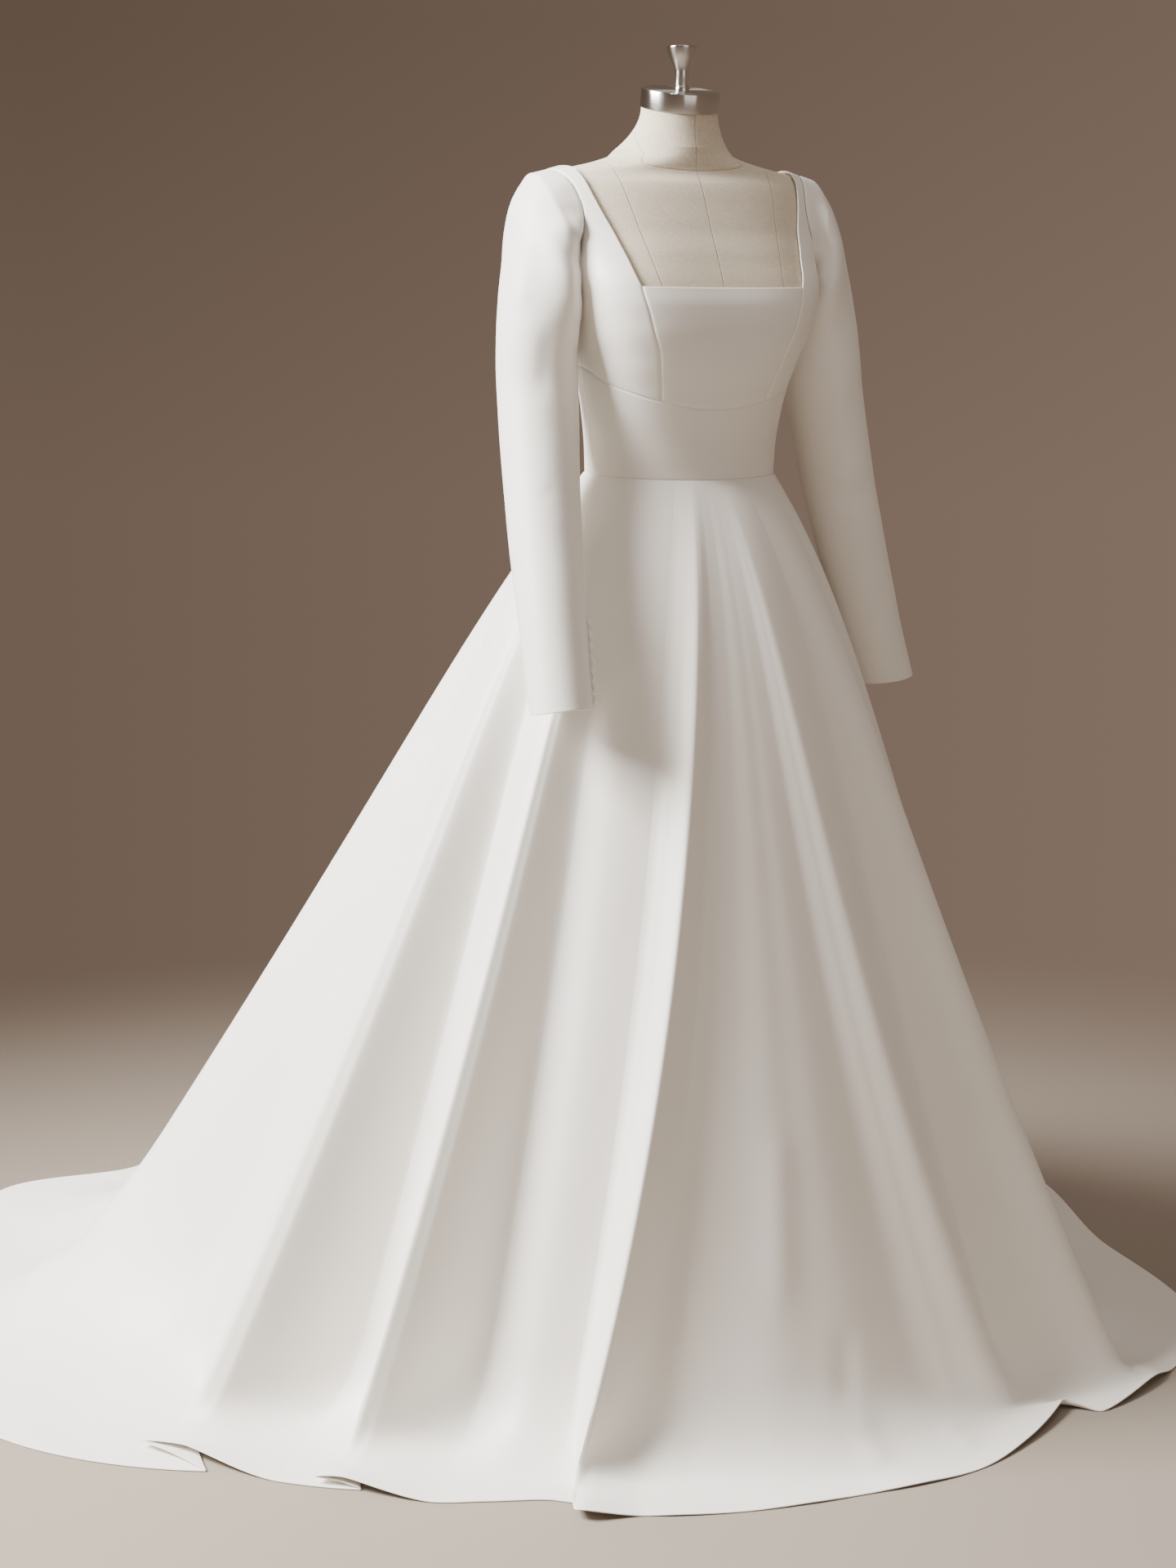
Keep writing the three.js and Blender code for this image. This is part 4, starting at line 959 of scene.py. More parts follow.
def sleeve_surface(side, row, angle):
    """Rings by row of the table and angle from the top towards the front: an ellipse on a tilted outward
    axis and a leaning forward axis. Above the first ring the surface runs straight to the armhole's rim."""
    rings = SLEEVES[side]
    index = np.arange(1, len(rings["x"]) + 1, dtype=float)
    read = {key: curve(row, index, values) for key, values in rings.items()}
    turn = np.radians(angle)
    tilt = np.radians(read["tilt"])
    lean = np.radians(read["lean"])
    zero = np.zeros_like(tilt)
    outward = stack(np.cos(tilt), zero, np.sin(tilt))
    forward = stack(zero, -np.cos(lean), np.sin(lean))
    wrapped = angle % 360
    puff = ((row - PUFF_ROW) / PUFF_ROWS) ** 2 + ((wrapped - PUFF_ANGLE) / PUFF_ANGLES) ** 2
    fuller = 1 + PUFF_SHARE * np.exp(-puff)
    at = stack(read["x"], read["y"], read["z"])
    at = at + outward * (fuller * read["across"] * np.cos(turn))[..., None]
    at = at + forward * (fuller * read["deep"] * np.sin(turn))[..., None]
    at[..., 1] += read["sway"] * np.cos(turn)
    rim = on_body(stack(*(curve(wrapped, ARMHOLE["angle"], ARMHOLE[axis]) for axis in "xyz")))
    return mix(rim, at, np.clip(row, 0, 1)[..., None])


def seam_angles(side, row):
    """Angles of the buttoned seam and the other long seam at each row."""
    head, cuff, other = SLEEVE_SEAMS[side]
    last = len(SLEEVES[side]["x"])
    return mix(head, cuff, smooth(row, SEAM_TURN_START, last)), other


def build_sleeves(settings):
    """Each sleeve is worked out once, closed round the arm, and cut into its under and upper piece."""
    length, under_width = PIECES["sleeve_under"]["grid"]
    upper_width = PIECES["sleeve_upper"]["grid"][1]
    under = graded(under_width, PANEL_PITCH)[None, :]
    upper = graded(upper_width, PANEL_PITCH)[None, 1:]
    seam = under.shape[1] - 1
    parts = {"sleeve_under": slice(0, seam + 1), "sleeve_upper": slice(seam, None)}
    dip = settings.seam_dip / MM
    for side in SIDES:
        row = (graded(length, SLEEVE_PITCH) * float(len(SLEEVES[side]["x"])))[:, None]
        opening, other = seam_angles(side, row)
        angle = np.concatenate([mix(opening, other, under), mix(other, opening + 360, upper)], axis=1)
        points = TURNS[side](sleeve_surface(side, *np.broadcast_arrays(row, angle)))
        points[:, -1] = points[:, 0]
        normals = grid_normals(points)
        middle = points[:, :-1].mean(axis=1, keepdims=True)
        if np.sum((points - middle) * normals) < 0:
            normals = -normals
        points = add_creases(points + normals * (CLOTH / 2), normals, SLEEVE_CREASES[side])
        for kind, part in parts.items():
            name = f"{kind}_{side}"
            cloth_wall(name, points[:, part], normals[:, part], FREE_AT_LAST, dip)


# Buttons and loops


def place_buttons(side):
    """Middle, outward direction and downward direction of each button. They stand at even steps up a line
    beside the opening seam, from the cuff."""
    last = float(len(SLEEVES[side]["x"]))
    row = np.linspace(last, last - WALKED_ROWS, WALKED_POINTS)
    line = sleeve_surface(side, row, seam_angles(side, row)[0] + BUTTON_ANGLE)
    walked = np.concatenate([[0], np.cumsum(np.linalg.norm(np.diff(line, axis=0), axis=1))])
    row = np.interp(BUTTON_FIRST + BUTTON_PITCH * np.arange(BUTTON_COUNT), walked, row)
    angle = seam_angles(side, row)[0] + BUTTON_ANGLE
    place = sleeve_surface(side, row, angle)
    along = sleeve_surface(side, row + ROW_STEP, angle) - sleeve_surface(side, row - ROW_STEP, angle)
    round_way = sleeve_surface(side, row, angle + ANGLE_STEP) - sleeve_surface(side, row, angle - ANGLE_STEP)
    normal = unit(np.cross(along, round_way))
    top, bottom = (sleeve_surface(side, row, np.full_like(row, turn)) for turn in (0.0, 180.0))
    normal *= np.sign(np.sum(normal * (place - (top + bottom) / 2), axis=-1))[:, None]
    return place, normal, unit(along)


def cord_points(path):
    """A round cord: circles of its radius carried along a path, drawn to a point at both ends. The slant
    only keeps the circles' directions defined where the path is straight."""
    ahead = unit(np.gradient(path, axis=0))
    aside = unit(np.cross(ahead, np.cross(ahead, np.roll(ahead, 1, axis=0)) + CORD_SLANT))
    above = np.cross(ahead, aside)
    turn = np.linspace(0, FULL_TURN, CORD_SIDES, endpoint=False)[None, :, None]
    size = np.full((len(path), 1, 1), LOOP_RADIUS)
    size[[0, -1]] = NEAR_AXIS
    return path[:, None] + (np.cos(turn) * aside[:, None] + np.sin(turn) * above[:, None]) * size


def build_buttons():
    """Covered buttons: a foot pulled in under a dome, whose radius is a power of a cosine and whose height
    is a sine. Loops: an arc of cord round each button, from the opening's edge and back to it."""
    arc = np.linspace(0, 1, DOME_RINGS) * math.pi / 2
    radius = BUTTON_RADIUS * np.concatenate([BUTTON_FOOT["radius"], np.cos(arc) ** DOME_POWER + 0.001])
    height = BUTTON_HEIGHT * np.concatenate([BUTTON_FOOT["height"], mix(np.sin(arc), 1.0, DOME_START)])
    radius, height = radius[:, None, None], height[:, None, None]
    turn = np.linspace(0, FULL_TURN, BUTTON_SEGMENTS, endpoint=False)[:, None]
    bend = np.linspace(-0.15 * math.pi, 1.15 * math.pi, LOOP_POINTS)[:, None]
    for side in SIDES:
        place, normal, along = (TURNS[side](part) for part in place_buttons(side))
        across = np.cross(normal, along)
        back = place + normal * (CLOTH / 2 + BUTTON_LIFT)
        away = across if side == "right" else -across
        loops = []
        for i in range(BUTTON_COUNT):
            spoke = np.cos(turn) * across[i] + np.sin(turn) * along[i]
            rings = back[i] + radius * spoke + height * normal[i]
            ring_piece(f"cuff_button_{side}_{i + 1}", "cover", rings, satin())
            round_button = (np.sin(bend) * away[i] + np.cos(bend) * along[i]) * LOOP_REACH
            loops.append(cord_points(back[i] + normal[i] * LOOP_LIFT + round_button))
        each = ring_faces(LOOP_POINTS, CORD_SIDES)
        faces = np.concatenate([each + i * LOOP_POINTS * CORD_SIDES for i in range(BUTTON_COUNT)])
        points = np.concatenate(loops).reshape(-1, 3)
        piece = make_mesh(f"button_loops_{side}", points, faces, satin())


# Dress form


def capped(rings):
    """Rings with a flat cap drawn to the middle at each end."""
    middles = rings[[0, -1]].mean(axis=1, keepdims=True)
    first, last = middles + (rings[[0, -1]] - middles) * CAP_SHARE
    return np.concatenate([first[None], rings, last[None]])


def turned(outline, place=(0, 0, 0), tilt=0.0, foot_slope=0.0):
    """An outline of radius and height turned round the upright axis, tilted forward and set in its place.
    Its two lowest rings can slope, to meet a tilted face."""
    radius, height = (column[:, None] for column in np.array(outline, float).T)
    turn = np.linspace(0, FULL_TURN, TURNED_SEGMENTS, endpoint=False)[None, :]
    rings = stack(radius * np.sin(turn), -radius * np.cos(turn), height)
    rings[:2, :, 2] += foot_slope * rings[:2, :, 1]
    y = rings[..., 1] * math.cos(tilt) - rings[..., 2] * math.sin(tilt)
    z = rings[..., 1] * math.sin(tilt) + rings[..., 2] * math.cos(tilt)
    return stack(rings[..., 0], y, z) + np.array(place, float)


def build_form(linen, metal, dark_metal):
    """Torso: rings of the body's sections, moved in from the cloth along the normals. Neck: rings from the
    torso's top to the circle under the tilted cap, closing in as a parabola. Metal: turned outlines."""
    inset = CLOTH + FORM_GAP
    turn = np.linspace(0, FULL_TURN, FORM_SEGMENTS, endpoint=False)[None, :]
    level = FORM_LEVELS[:, None]
    radius = section_radius(level, turn)
    middle = curve(level, BODY["height"], BODY["middle"])
    shell = stack(radius * np.sin(turn), middle - radius * np.cos(turn), level)
    shell = shell - body_normal(shell) * inset
    shell[-1, :, 2] = NECK_START
    low = section_radius(BOTTOM_EDGE_LEVEL, turn) - inset - BOTTOM_ROUNDING
    low = stack(low * np.sin(turn), -low * np.cos(turn), TORSO_BOTTOM)
    ring_piece("form_torso", "linen", capped(np.concatenate([low, shell])), linen)

    base = shell[-1]
    tilt = math.radians(CAP_TILT)
    azimuth = np.arctan2(base[:, 0], NECK_MIDDLE - base[:, 1])
    neck_radius = CAP_DIAMETER / 2 - NECK_INSET
    reach = neck_radius * np.cos(azimuth)
    top_y = NECK_BEHIND - reach * math.cos(tilt)
    top_z = NECK_END - reach * math.sin(tilt)
    top = stack(neck_radius * np.sin(azimuth), top_y, top_z)
    share = np.linspace(0, 1, NECK_RINGS)[:, None, None]
    neck = mix(base, top, 1 - (1 - share) ** 2)
    neck[..., 2] = mix(base[:, 2], top[:, 2], share[..., 0])
    ring_piece("form_neck", "linen", capped(neck), linen)

    cap = turned(CAP, (0, NECK_BEHIND, NECK_END + SEAM_GAP), tilt)
    reach = NECK_BEHIND - CAP_HEIGHT * math.sin(tilt)
    foot = NECK_END + 2 * SEAM_GAP + CAP_HEIGHT * math.cos(tilt) - reach * math.tan(tilt)
    knob = turned([(NEAR_AXIS, foot), (KNOB_FOOT, foot), *KNOB], foot_slope=math.tan(tilt))
    ring_piece("neck_cap", "metal", cap, metal, sharp=40)
    ring_piece("neck_knob", "metal", knob, metal, sharp=40)
    ring_piece("stand_base", "metal", turned(STAND_BASE), dark_metal, sharp=40)
    ring_piece("stand_pole", "metal", turned(STAND_POLE), dark_metal, sharp=40)


# Materials


def linear(colour):
    """An sRGB hex colour as the linear red, green, blue and alpha that a shader takes."""
    parts = [int(colour[k : k + 2], 16) / 255 for k in (1, 3, 5)]
    return [p / 12.92 if p <= 0.04045 else ((p + 0.055) / 1.055) ** 2.4 for p in parts] + [1.0]


def add_node(tree, kind, inputs=None, **settings):
    """A node with its inputs, by name or number, and its settings, by attribute. An input that is given
    another node's output is linked to it, and any other is set."""
    node = tree.nodes.new(kind)
    for key, value in settings.items():
        setattr(node, key, value)
    for key, value in (inputs or {}).items():
        if isinstance(value, bpy.types.NodeSocket):
            tree.links.new(value, node.inputs[key])
        else:
            node.inputs[key].default_value = value
    return node


def new_material(name):
    """An empty material and its node tree."""
    material = bpy.data.materials.new(name)
    material.use_nodes = True
    material.node_tree.nodes.clear()
    return material, material.node_tree


def satin():
    """The dress's satin, made once and shared by all of its pieces."""
    return bpy.data.materials.get("duchess_satin") or duchess_satin(bpy.context.scene.dress_settings)


def duchess_satin(settings):
    """Heavy duchess satin, woven with long warp floats and piece-dyed ivory: a broad soft gloss with a faint
    sheen, fine threads along the cut, and slow changes of tone where the cloth was pressed. Its threads are
    about 0.1 mm apart, and are drawn at 0.5 mm so that they show."""
    material, tree = new_material("duchess_satin")
    uv = add_node(tree, "ShaderNodeUVMap", uv_map="cut").outputs["UV"]
    thread_scale = (1 / 0.0005, 1 / 0.004, 1)
    threads = add_node(tree, "ShaderNodeMapping", {"Vector": uv, "Scale": thread_scale})
    weave = add_node(
        tree,
        "ShaderNodeTexNoise",
        {"Vector": threads.outputs["Vector"], "Scale": 1.0, "Detail": 2.0, "Roughness": 0.6},
    )
    press = add_node(
        tree, "ShaderNodeTexNoise", {"Vector": uv, "Scale": 9.0, "Detail": 3.0, "Roughness": 0.5}
    )
    tone = add_node(
        tree,
        "ShaderNodeMix",
        {MIX_SHARE: press.outputs["Fac"], MIX_FROM: settings.satin_shade, MIX_TO: settings.satin_light},
        data_type="RGBA",
    )
    bump = add_node(
        tree,
        "ShaderNodeBump",
        {"Height": weave.outputs["Fac"], "Strength": 0.12, "Distance": 0.00012},
    )
    rough = add_node(
        tree, "ShaderNodeMapRange", {"Value": press.outputs["Fac"], "To Min": 0.40, "To Max": 0.50}
    )
    shader = add_node(
        tree,
        "ShaderNodeBsdfPrincipled",
        {
            "Base Color": tone.outputs[MIX_RESULT],
            "Roughness": rough.outputs["Result"],
            "Normal": bump.outputs["Normal"],
            "IOR": 1.46,
            "Sheen Weight": 0.18,
            "Sheen Roughness": 0.35,
            "Specular IOR Level": 0.42,
        },
    )
    add_node(tree, "ShaderNodeOutputMaterial", {"Surface": shader.outputs["BSDF"]})
    return material


def form_seams(tree, place):
    """1 on the seams of the form's linen cover and 0 beside them: the centre front, a seam on each side of
    it that spreads upwards, and the neck's seam, which rises towards the back. Each step of the table is a
    maths node on two values, numbers or earlier steps."""
    parts = add_node(tree, "ShaderNodeSeparateXYZ", {"Vector": place})
    steps = [
        ("aside", "ABSOLUTE", "X", 0.0),
        ("above_foot", "SUBTRACT", "Z", FORM_SEAM_FOOT[1]),
        ("spread", "MULTIPLY", "above_foot", FORM_SEAM_LEAN),
        ("past_foot", "SUBTRACT", "aside", FORM_SEAM_FOOT[0]),
        ("past_seam", "SUBTRACT", "past_foot", "spread"),
        ("from_side_seam", "ABSOLUTE", "past_seam", 0.0),
        ("behind_neck_foot", "SUBTRACT", "Y", NECK_SEAM_FOOT[0]),
        ("rise", "MULTIPLY", "behind_neck_foot", NECK_SEAM_RISE),
        ("above_neck_foot", "SUBTRACT", "Z", NECK_SEAM_FOOT[1]),
        ("above_neck_seam", "SUBTRACT", "above_neck_foot", "rise"),
        ("from_neck_seam", "ABSOLUTE", "above_neck_seam", 0.0),
        ("from_upright", "MINIMUM", "aside", "from_side_seam"),
        ("from_nearest", "MINIMUM", "from_upright", "from_neck_seam"),
    ]
    values = {axis: parts.outputs[axis] for axis in "XYZ"}
    for name, operation, first, second in steps:
        inputs = {0: values[first], 1: values.get(second, second)}
        values[name] = add_node(tree, "ShaderNodeMath", inputs, operation=operation).outputs[0]
    share = add_node(
        tree,
        "ShaderNodeMapRange",
        {"Value": values["from_nearest"], "From Max": STITCH_HALF, "To Min": 1.0, "To Max": 0.0},
    )
    return share.outputs["Result"]


def natural_linen(settings):
    """Natural linen, plain woven and stretched over a firm form: matt, with warp and weft about 0.9 mm
    apart, drawn at 1.4 mm so that they show, short slubs along both, and the cover's stitched seams as
    shallow grooves."""
    material, tree = new_material("natural_linen")
    place = add_node(tree, "ShaderNodeTexCoord").outputs["Object"]
    across, slub = 1 / 0.0014, 1 / 0.006
    threads = []
    for scale in ((across, across, slub), (slub, slub, across)):
        mapping = add_node(tree, "ShaderNodeMapping", {"Vector": place, "Scale": scale})
        noise_inputs = {"Vector": mapping.outputs["Vector"], "Scale": 1.0, "Detail": 2.0}
        threads.append(add_node(tree, "ShaderNodeTexNoise", noise_inputs).outputs["Fac"])
    weave = add_node(tree, "ShaderNodeMath", dict(enumerate(threads)), operation="ADD").outputs[0]
    seams = form_seams(tree, place)
    share = add_node(tree, "ShaderNodeMapRange", {"Value": weave, "From Min": 0.7, "From Max": 1.3})
    tone = add_node(
        tree,
        "ShaderNodeMix",
        {MIX_SHARE: share.outputs["Result"], MIX_FROM: settings.linen_shade, MIX_TO: settings.linen_light},
        data_type="RGBA",
    )
    half = add_node(tree, "ShaderNodeMath", {0: seams, 1: 0.5}, operation="MULTIPLY")
    stitched = add_node(
        tree,
        "ShaderNodeMix",
        {MIX_SHARE: half.outputs[0], MIX_FROM: tone.outputs[MIX_RESULT], MIX_TO: settings.linen_seam},
        data_type="RGBA",
    )
    relief = add_node(tree, "ShaderNodeMath", {0: weave, 1: 0.35}, operation="MULTIPLY")
    height = add_node(tree, "ShaderNodeMath", {0: relief.outputs[0], 1: seams}, operation="SUBTRACT")
    bump = add_node(
        tree, "ShaderNodeBump", {"Height": height.outputs[0], "Strength": 0.6, "Distance": 0.0006}
    )
    shader = add_node(
        tree,
        "ShaderNodeBsdfPrincipled",
        {
            "Base Color": stitched.outputs[MIX_RESULT],
            "Normal": bump.outputs["Normal"],
            "Roughness": 0.85,
            "Sheen Weight": 0.15,
            "Sheen Roughness": 0.6,
            "Specular IOR Level": 0.2,
        },
    )
    add_node(tree, "ShaderNodeOutputMaterial", {"Surface": shader.outputs["BSDF"]})
    return material


def brushed_steel(settings):
    """Turned and brushed stainless steel: fine rings round the axis, about 0.3 mm apart and drawn at 1 mm,
    that spread the highlight sideways."""
    material, tree = new_material("brushed_steel")
    place = add_node(tree, "ShaderNodeTexCoord").outputs["Object"]
    ring_scale = (6.0, 6.0, 1 / 0.001)
    rings = add_node(tree, "ShaderNodeMapping", {"Vector": place, "Scale": ring_scale})
    noise_inputs = {"Vector": rings.outputs["Vector"], "Scale": 1.0, "Detail": 3.0}
    lines = add_node(tree, "ShaderNodeTexNoise", noise_inputs).outputs["Fac"]
    bump = add_node(tree, "ShaderNodeBump", {"Height": lines, "Strength": 0.15, "Distance": 0.0001})
    rough = add_node(tree, "ShaderNodeMapRange", {"Value": lines, "To Min": 0.17, "To Max": 0.26})
    shader = add_node(
        tree,
        "ShaderNodeBsdfPrincipled",
        {
            "Base Color": settings.steel,
            "Roughness": rough.outputs["Result"],
            "Normal": bump.outputs["Normal"],
            "Metallic": 1.0,
            "Anisotropic": 0.85,
            "Anisotropic Rotation": 0.25,
        },
    )
    add_node(tree, "ShaderNodeOutputMaterial", {"Surface": shader.outputs["BSDF"]})
    return material


def powder_coat(settings):
    """Black polyester powder coat on steel: a fine orange peel, about 1.5 mm from crest to crest, with a low
    gloss."""
    material, tree = new_material("black_powder_coat")
    place = add_node(tree, "ShaderNodeTexCoord").outputs["Object"]
    peel = add_node(tree, "ShaderNodeTexNoise", {"Vector": place, "Scale": 1 / 0.0015, "Detail": 2.0})
    bump_inputs = {"Height": peel.outputs["Fac"], "Strength": 0.3, "Distance": 0.0002}
    bump = add_node(tree, "ShaderNodeBump", bump_inputs)
    shader = add_node(
        tree,
        "ShaderNodeBsdfPrincipled",
        {"Base Color": settings.coat, "Roughness": 0.5, "Normal": bump.outputs["Normal"]},
    )
    add_node(tree, "ShaderNodeOutputMaterial", {"Surface": shader.outputs["BSDF"]})
    return material


def studio_floor(settings):
    """Matt studio floor, pale beige. Away from the dress it gives way to the backdrop's light behind it, so
    that no edge shows between the two, and that fade is painted light: it stands in for the light falling
    off towards the back."""
    material, tree = new_material("studio_floor")
    place = add_node(tree, "ShaderNodeTexCoord").outputs["Object"]
    distance = add_node(
        tree, "ShaderNodeVectorMath", {0: place, 1: FLOOR_MIDDLE}, operation="DISTANCE"
    )
    # painted fall-off of the light: with distance the floor fades into the backdrop
    share = add_node(
        tree,
        "ShaderNodeMapRange",
        {"Value": distance.outputs["Value"], "From Min": FLOOR_FADE[0], "From Max": FLOOR_FADE[1]},
        interpolation_type="SMOOTHSTEP",
    )
    floor = add_node(
        tree,
        "ShaderNodeBsdfPrincipled",
        {"Base Color": settings.floor, "Roughness": 0.9, "Specular IOR Level": 0.1},
    )
    clear = add_node(tree, "ShaderNodeBsdfTransparent")
    blend = add_node(
        tree,
        "ShaderNodeMixShader",
        {"Fac": share.outputs["Result"], 1: floor.outputs["BSDF"], 2: clear.outputs["BSDF"]},
    )
    add_node(tree, "ShaderNodeOutputMaterial", {"Surface": blend.outputs["Shader"]})
    return material


def backdrop_world(settings):
    """Warm taupe paper behind the dress, with painted light and shade: darker at the top and on the left, by
    the direction looked in.
    """
    world = bpy.data.worlds.new("studio_backdrop")
    world.use_nodes = True
    tree = world.node_tree
    tree.nodes.clear()
    way = add_node(tree, "ShaderNodeTexCoord").outputs["Generated"]
    paper_right = (math.cos(PAPER_AZIMUTH), math.sin(PAPER_AZIMUTH), 0.0)
    across = add_node(tree, "ShaderNodeVectorMath", {0: way, 1: paper_right}, operation="DOT_PRODUCT")
    parts = add_node(tree, "ShaderNodeSeparateXYZ", {"Vector": way})
    rightward = add_node(
        tree,
        "ShaderNodeMapRange",
        {"Value": across.outputs["Value"], "From Min": -0.25, "From Max": 0.21, "To Max": 0.6},
    )
    downward = add_node(
        tree,
        "ShaderNodeMapRange",
        {"Value": parts.outputs["Z"], "From Min": 0.12, "From Max": -0.07, "To Max": 0.4},
    )
    share = add_node(
        tree,
        "ShaderNodeMath",
        {0: rightward.outputs["Result"], 1: downward.outputs["Result"]},
        operation="ADD",
    )
    tone = add_node(
        tree,
        "ShaderNodeMix",
        {MIX_SHARE: share.outputs[0], MIX_FROM: settings.paper_shade, MIX_TO: settings.paper_light},
        data_type="RGBA",
    )
    shade_inputs = {"Color": tone.outputs[MIX_RESULT], "Strength": settings.room}
    shade = add_node(tree, "ShaderNodeBackground", shade_inputs)
    add_node(tree, "ShaderNodeOutputWorld", {"Surface": shade.outputs["Background"]})
    return world


# Studio


def link(name, data):
    """A new object in the scene."""
    thing = bpy.data.objects.new(name, data)
    bpy.context.scene.collection.objects.link(thing)
    return thing


def direction(azimuth, elevation):
    """Unit vector from the dress, by azimuth from its front and by elevation."""
    level = math.cos(elevation)
    return Vector((math.sin(azimuth) * level, -math.cos(azimuth) * level, math.sin(elevation)))


def add_light(settings, name, azimuth, elevation, distance, size, power, colour):
    """A square soft light that faces the dress, placed by direction and distance."""
    light = bpy.data.lights.new(name, "AREA")
    light.shape = "SQUARE"
    light.size = size
    light.energy = getattr(settings, power)
    light.color = linear(colour)[:3]
    lamp = link(name, light)
    way = direction(math.radians(azimuth), math.radians(elevation))
    lamp.location = Vector(LIGHT_TARGET) + way * distance
    lamp.rotation_euler = way.to_track_quat("Z", "Y").to_euler()


def build_stage(settings):
    """The camera stands round the axis by its azimuth, and looks back, panned a little and pitched down."""
    camera = bpy.data.cameras.new("photo_view")
    camera.lens = CAMERA_LENS
    camera.sensor_width = 36
    camera.sensor_fit = "AUTO"
    camera.clip_end = 200
    viewer = link("photo_view", camera)
    viewer.location = direction(CAMERA_AZIMUTH, 0) * CAMERA_DISTANCE + Vector((0, 0, CAMERA_HEIGHT))
    looking = -direction(CAMERA_AZIMUTH + CAMERA_PAN, CAMERA_PITCH)
    viewer.rotation_euler = looking.to_track_quat("-Z", "Y").to_euler()
    bpy.context.scene.camera = viewer

    mesh = bpy.data.meshes.new("floor")
    corners = [(x * FLOOR_REACH, y * FLOOR_REACH, 0) for x, y in ((-1, -1), (1, -1), (1, 1), (-1, 1))]
    mesh.from_pydata(corners, [], [(0, 1, 2, 3)])
    mesh.materials.append(studio_floor(settings))
    link("floor", mesh)

    bpy.context.scene.world = backdrop_world(settings)
    for row in LIGHTS:
        add_light(settings, *row)


# Add-on


def colour_setting(name, description, colour):
    """A colour in the sidebar, given as sRGB hex and held as the linear colour that a shader takes."""
    return bpy.props.FloatVectorProperty(
        name=name, description=description, default=linear(colour), subtype="COLOR", size=4, min=0, max=1
    )


def length_setting(name, description, length):
    """A length in the sidebar, given in millimetres."""
    return bpy.props.FloatProperty(
        name=name, description=description, default=length * MM, subtype="DISTANCE", unit="LENGTH"
    )


class DressSettings(bpy.types.PropertyGroup):
    pitch: length_setting("Skirt step", "Widest step between grid lines round the skirt", 9.0)
    seam_dip: length_setting("Seam dip", "How far a seam of the bodice or a sleeve pulls it in", 1.1)
    skirt_dip: length_setting("Skirt seam dip", "How far a pressed seam of the skirt pulls it in", 0.1)
    roll: length_setting("Edge roll", "Height of the soft roll along a turned edge", 0.12)
    satin_light: colour_setting("Satin", "The ivory satin", "#F5F2EC")
    satin_shade: colour_setting("Satin, pressed", "The satin where the pressing dulled it", "#EFEBE3")
    linen_light: colour_setting("Linen", "The linen's raised threads", "#D8CDBA")
    linen_shade: colour_setting("Linen, deep", "The linen between its threads", "#C8BBA6")
    linen_seam: colour_setting("Linen seams", "The thread and groove of the linen's seams", "#94866F")
    steel: colour_setting("Steel", "The brushed cap and knob", "#D6D5D2")
    coat: colour_setting("Powder coat", "The pole and the base", "#2B2A29")


class StudioSettings(bpy.types.PropertyGroup):
    key: bpy.props.FloatProperty(
        name="Key", description="Power of the softbox at the upper left", default=900.0, subtype="POWER"
    )
    overhead: bpy.props.FloatProperty(
        name="Overhead", description="Power of the softbox above", default=46.0, subtype="POWER"
    )
    fill: bpy.props.FloatProperty(
        name="Fill", description="Power of the wide fill light in front", default=34.0, subtype="POWER"
    )
    room: bpy.props.FloatProperty(
        name="Room", description="Strength of the light from the room", default=1.0, min=0.0
    )
    floor: colour_setting("Floor", "The matt floor", "#978D81")
    # the backdrop's painted light and its painted shade
    paper_light: colour_setting("Backdrop", "The lit side of the paper behind the dress", "#847163")
    paper_shade: colour_setting("Backdrop, dark", "The dark side of that paper", "#645447")


class DRESS_OT_stage(bpy.types.Operator):
    """Adds the camera, the floor, the room and the soft lights"""

    bl_idname = "dress.stage"
    bl_label = "Studio"

    def execute(self, context):
        build_stage(context.scene.dress_studio)
        return {"FINISHED"}


class DRESS_OT_form(bpy.types.Operator):
    """Adds the linen dress form with its metal cap, knob, pole and base"""

    bl_idname = "dress.form"
    bl_label = "Dress Form"

    def execute(self, context):
        settings = context.scene.dress_settings
        build_form(natural_linen(settings), brushed_steel(settings), powder_coat(settings))
        return {"FINISHED"}


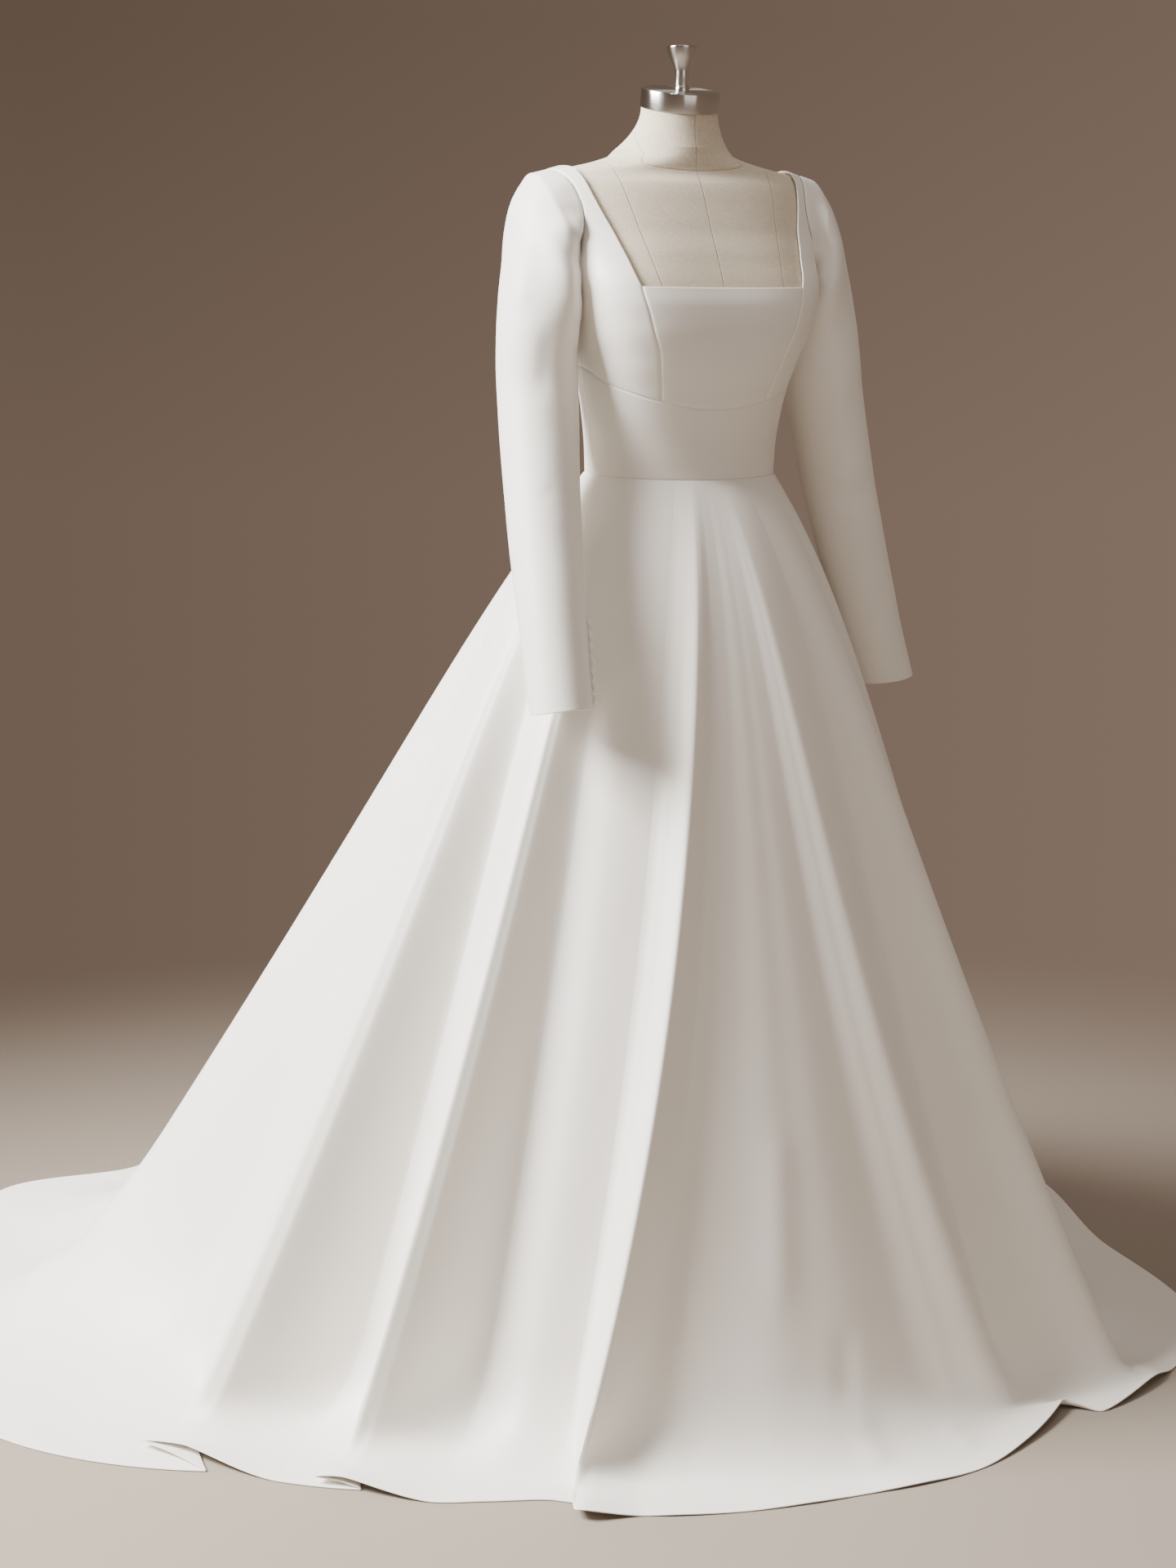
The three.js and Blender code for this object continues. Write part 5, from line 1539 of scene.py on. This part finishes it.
class DRESS_OT_bodice(bpy.types.Operator):
    """Adds the bodice panels and the midriff band"""

    bl_idname = "dress.bodice"
    bl_label = "Bodice"

    def execute(self, context):
        build_bodice(context.scene.dress_settings)
        return {"FINISHED"}


class DRESS_OT_skirt(bpy.types.Operator):
    """Adds the gores of the skirt with their folds and the train"""

    bl_idname = "dress.skirt"
    bl_label = "Skirt"

    def execute(self, context):
        build_skirt(context.scene.dress_settings)
        return {"FINISHED"}


class DRESS_OT_sleeves(bpy.types.Operator):
    """Adds the two-piece sleeves"""

    bl_idname = "dress.sleeves"
    bl_label = "Sleeves"

    def execute(self, context):
        build_sleeves(context.scene.dress_settings)
        return {"FINISHED"}


class DRESS_OT_buttons(bpy.types.Operator):
    """Adds the covered buttons and their loops at the cuffs"""

    bl_idname = "dress.buttons"
    bl_label = "Buttons and Loops"

    def execute(self, context):
        build_buttons()
        return {"FINISHED"}


class DRESS_PT_panel(bpy.types.Panel):
    bl_label = "Wedding Dress"
    bl_idname = "DRESS_PT_panel"
    bl_space_type = "VIEW_3D"
    bl_region_type = "UI"
    bl_category = "Wedding Dress"

    def draw(self, context):
        layout = self.layout
        for settings in (context.scene.dress_settings, context.scene.dress_studio):
            for name in type(settings).__annotations__:
                layout.prop(settings, name)
        for operator in OPERATORS:
            layout.operator(operator.bl_idname)


OPERATORS = (
    DRESS_OT_stage,
    DRESS_OT_form,
    DRESS_OT_bodice,
    DRESS_OT_skirt,
    DRESS_OT_sleeves,
    DRESS_OT_buttons,
)
CLASSES = (DressSettings, StudioSettings, *OPERATORS, DRESS_PT_panel)


def register():
    for kind in CLASSES:
        bpy.utils.register_class(kind)
    bpy.types.Scene.dress_settings = bpy.props.PointerProperty(type=DressSettings)
    bpy.types.Scene.dress_studio = bpy.props.PointerProperty(type=StudioSettings)


def unregister():
    del bpy.types.Scene.dress_studio
    del bpy.types.Scene.dress_settings
    for kind in reversed(CLASSES):
        bpy.utils.unregister_class(kind)


def main():
    register()
    bpy.ops.dress.stage()
    bpy.ops.dress.form()
    bpy.ops.dress.bodice()
    bpy.ops.dress.skirt()
    bpy.ops.dress.sleeves()
    bpy.ops.dress.buttons()


if __name__ == "__main__":
    main()
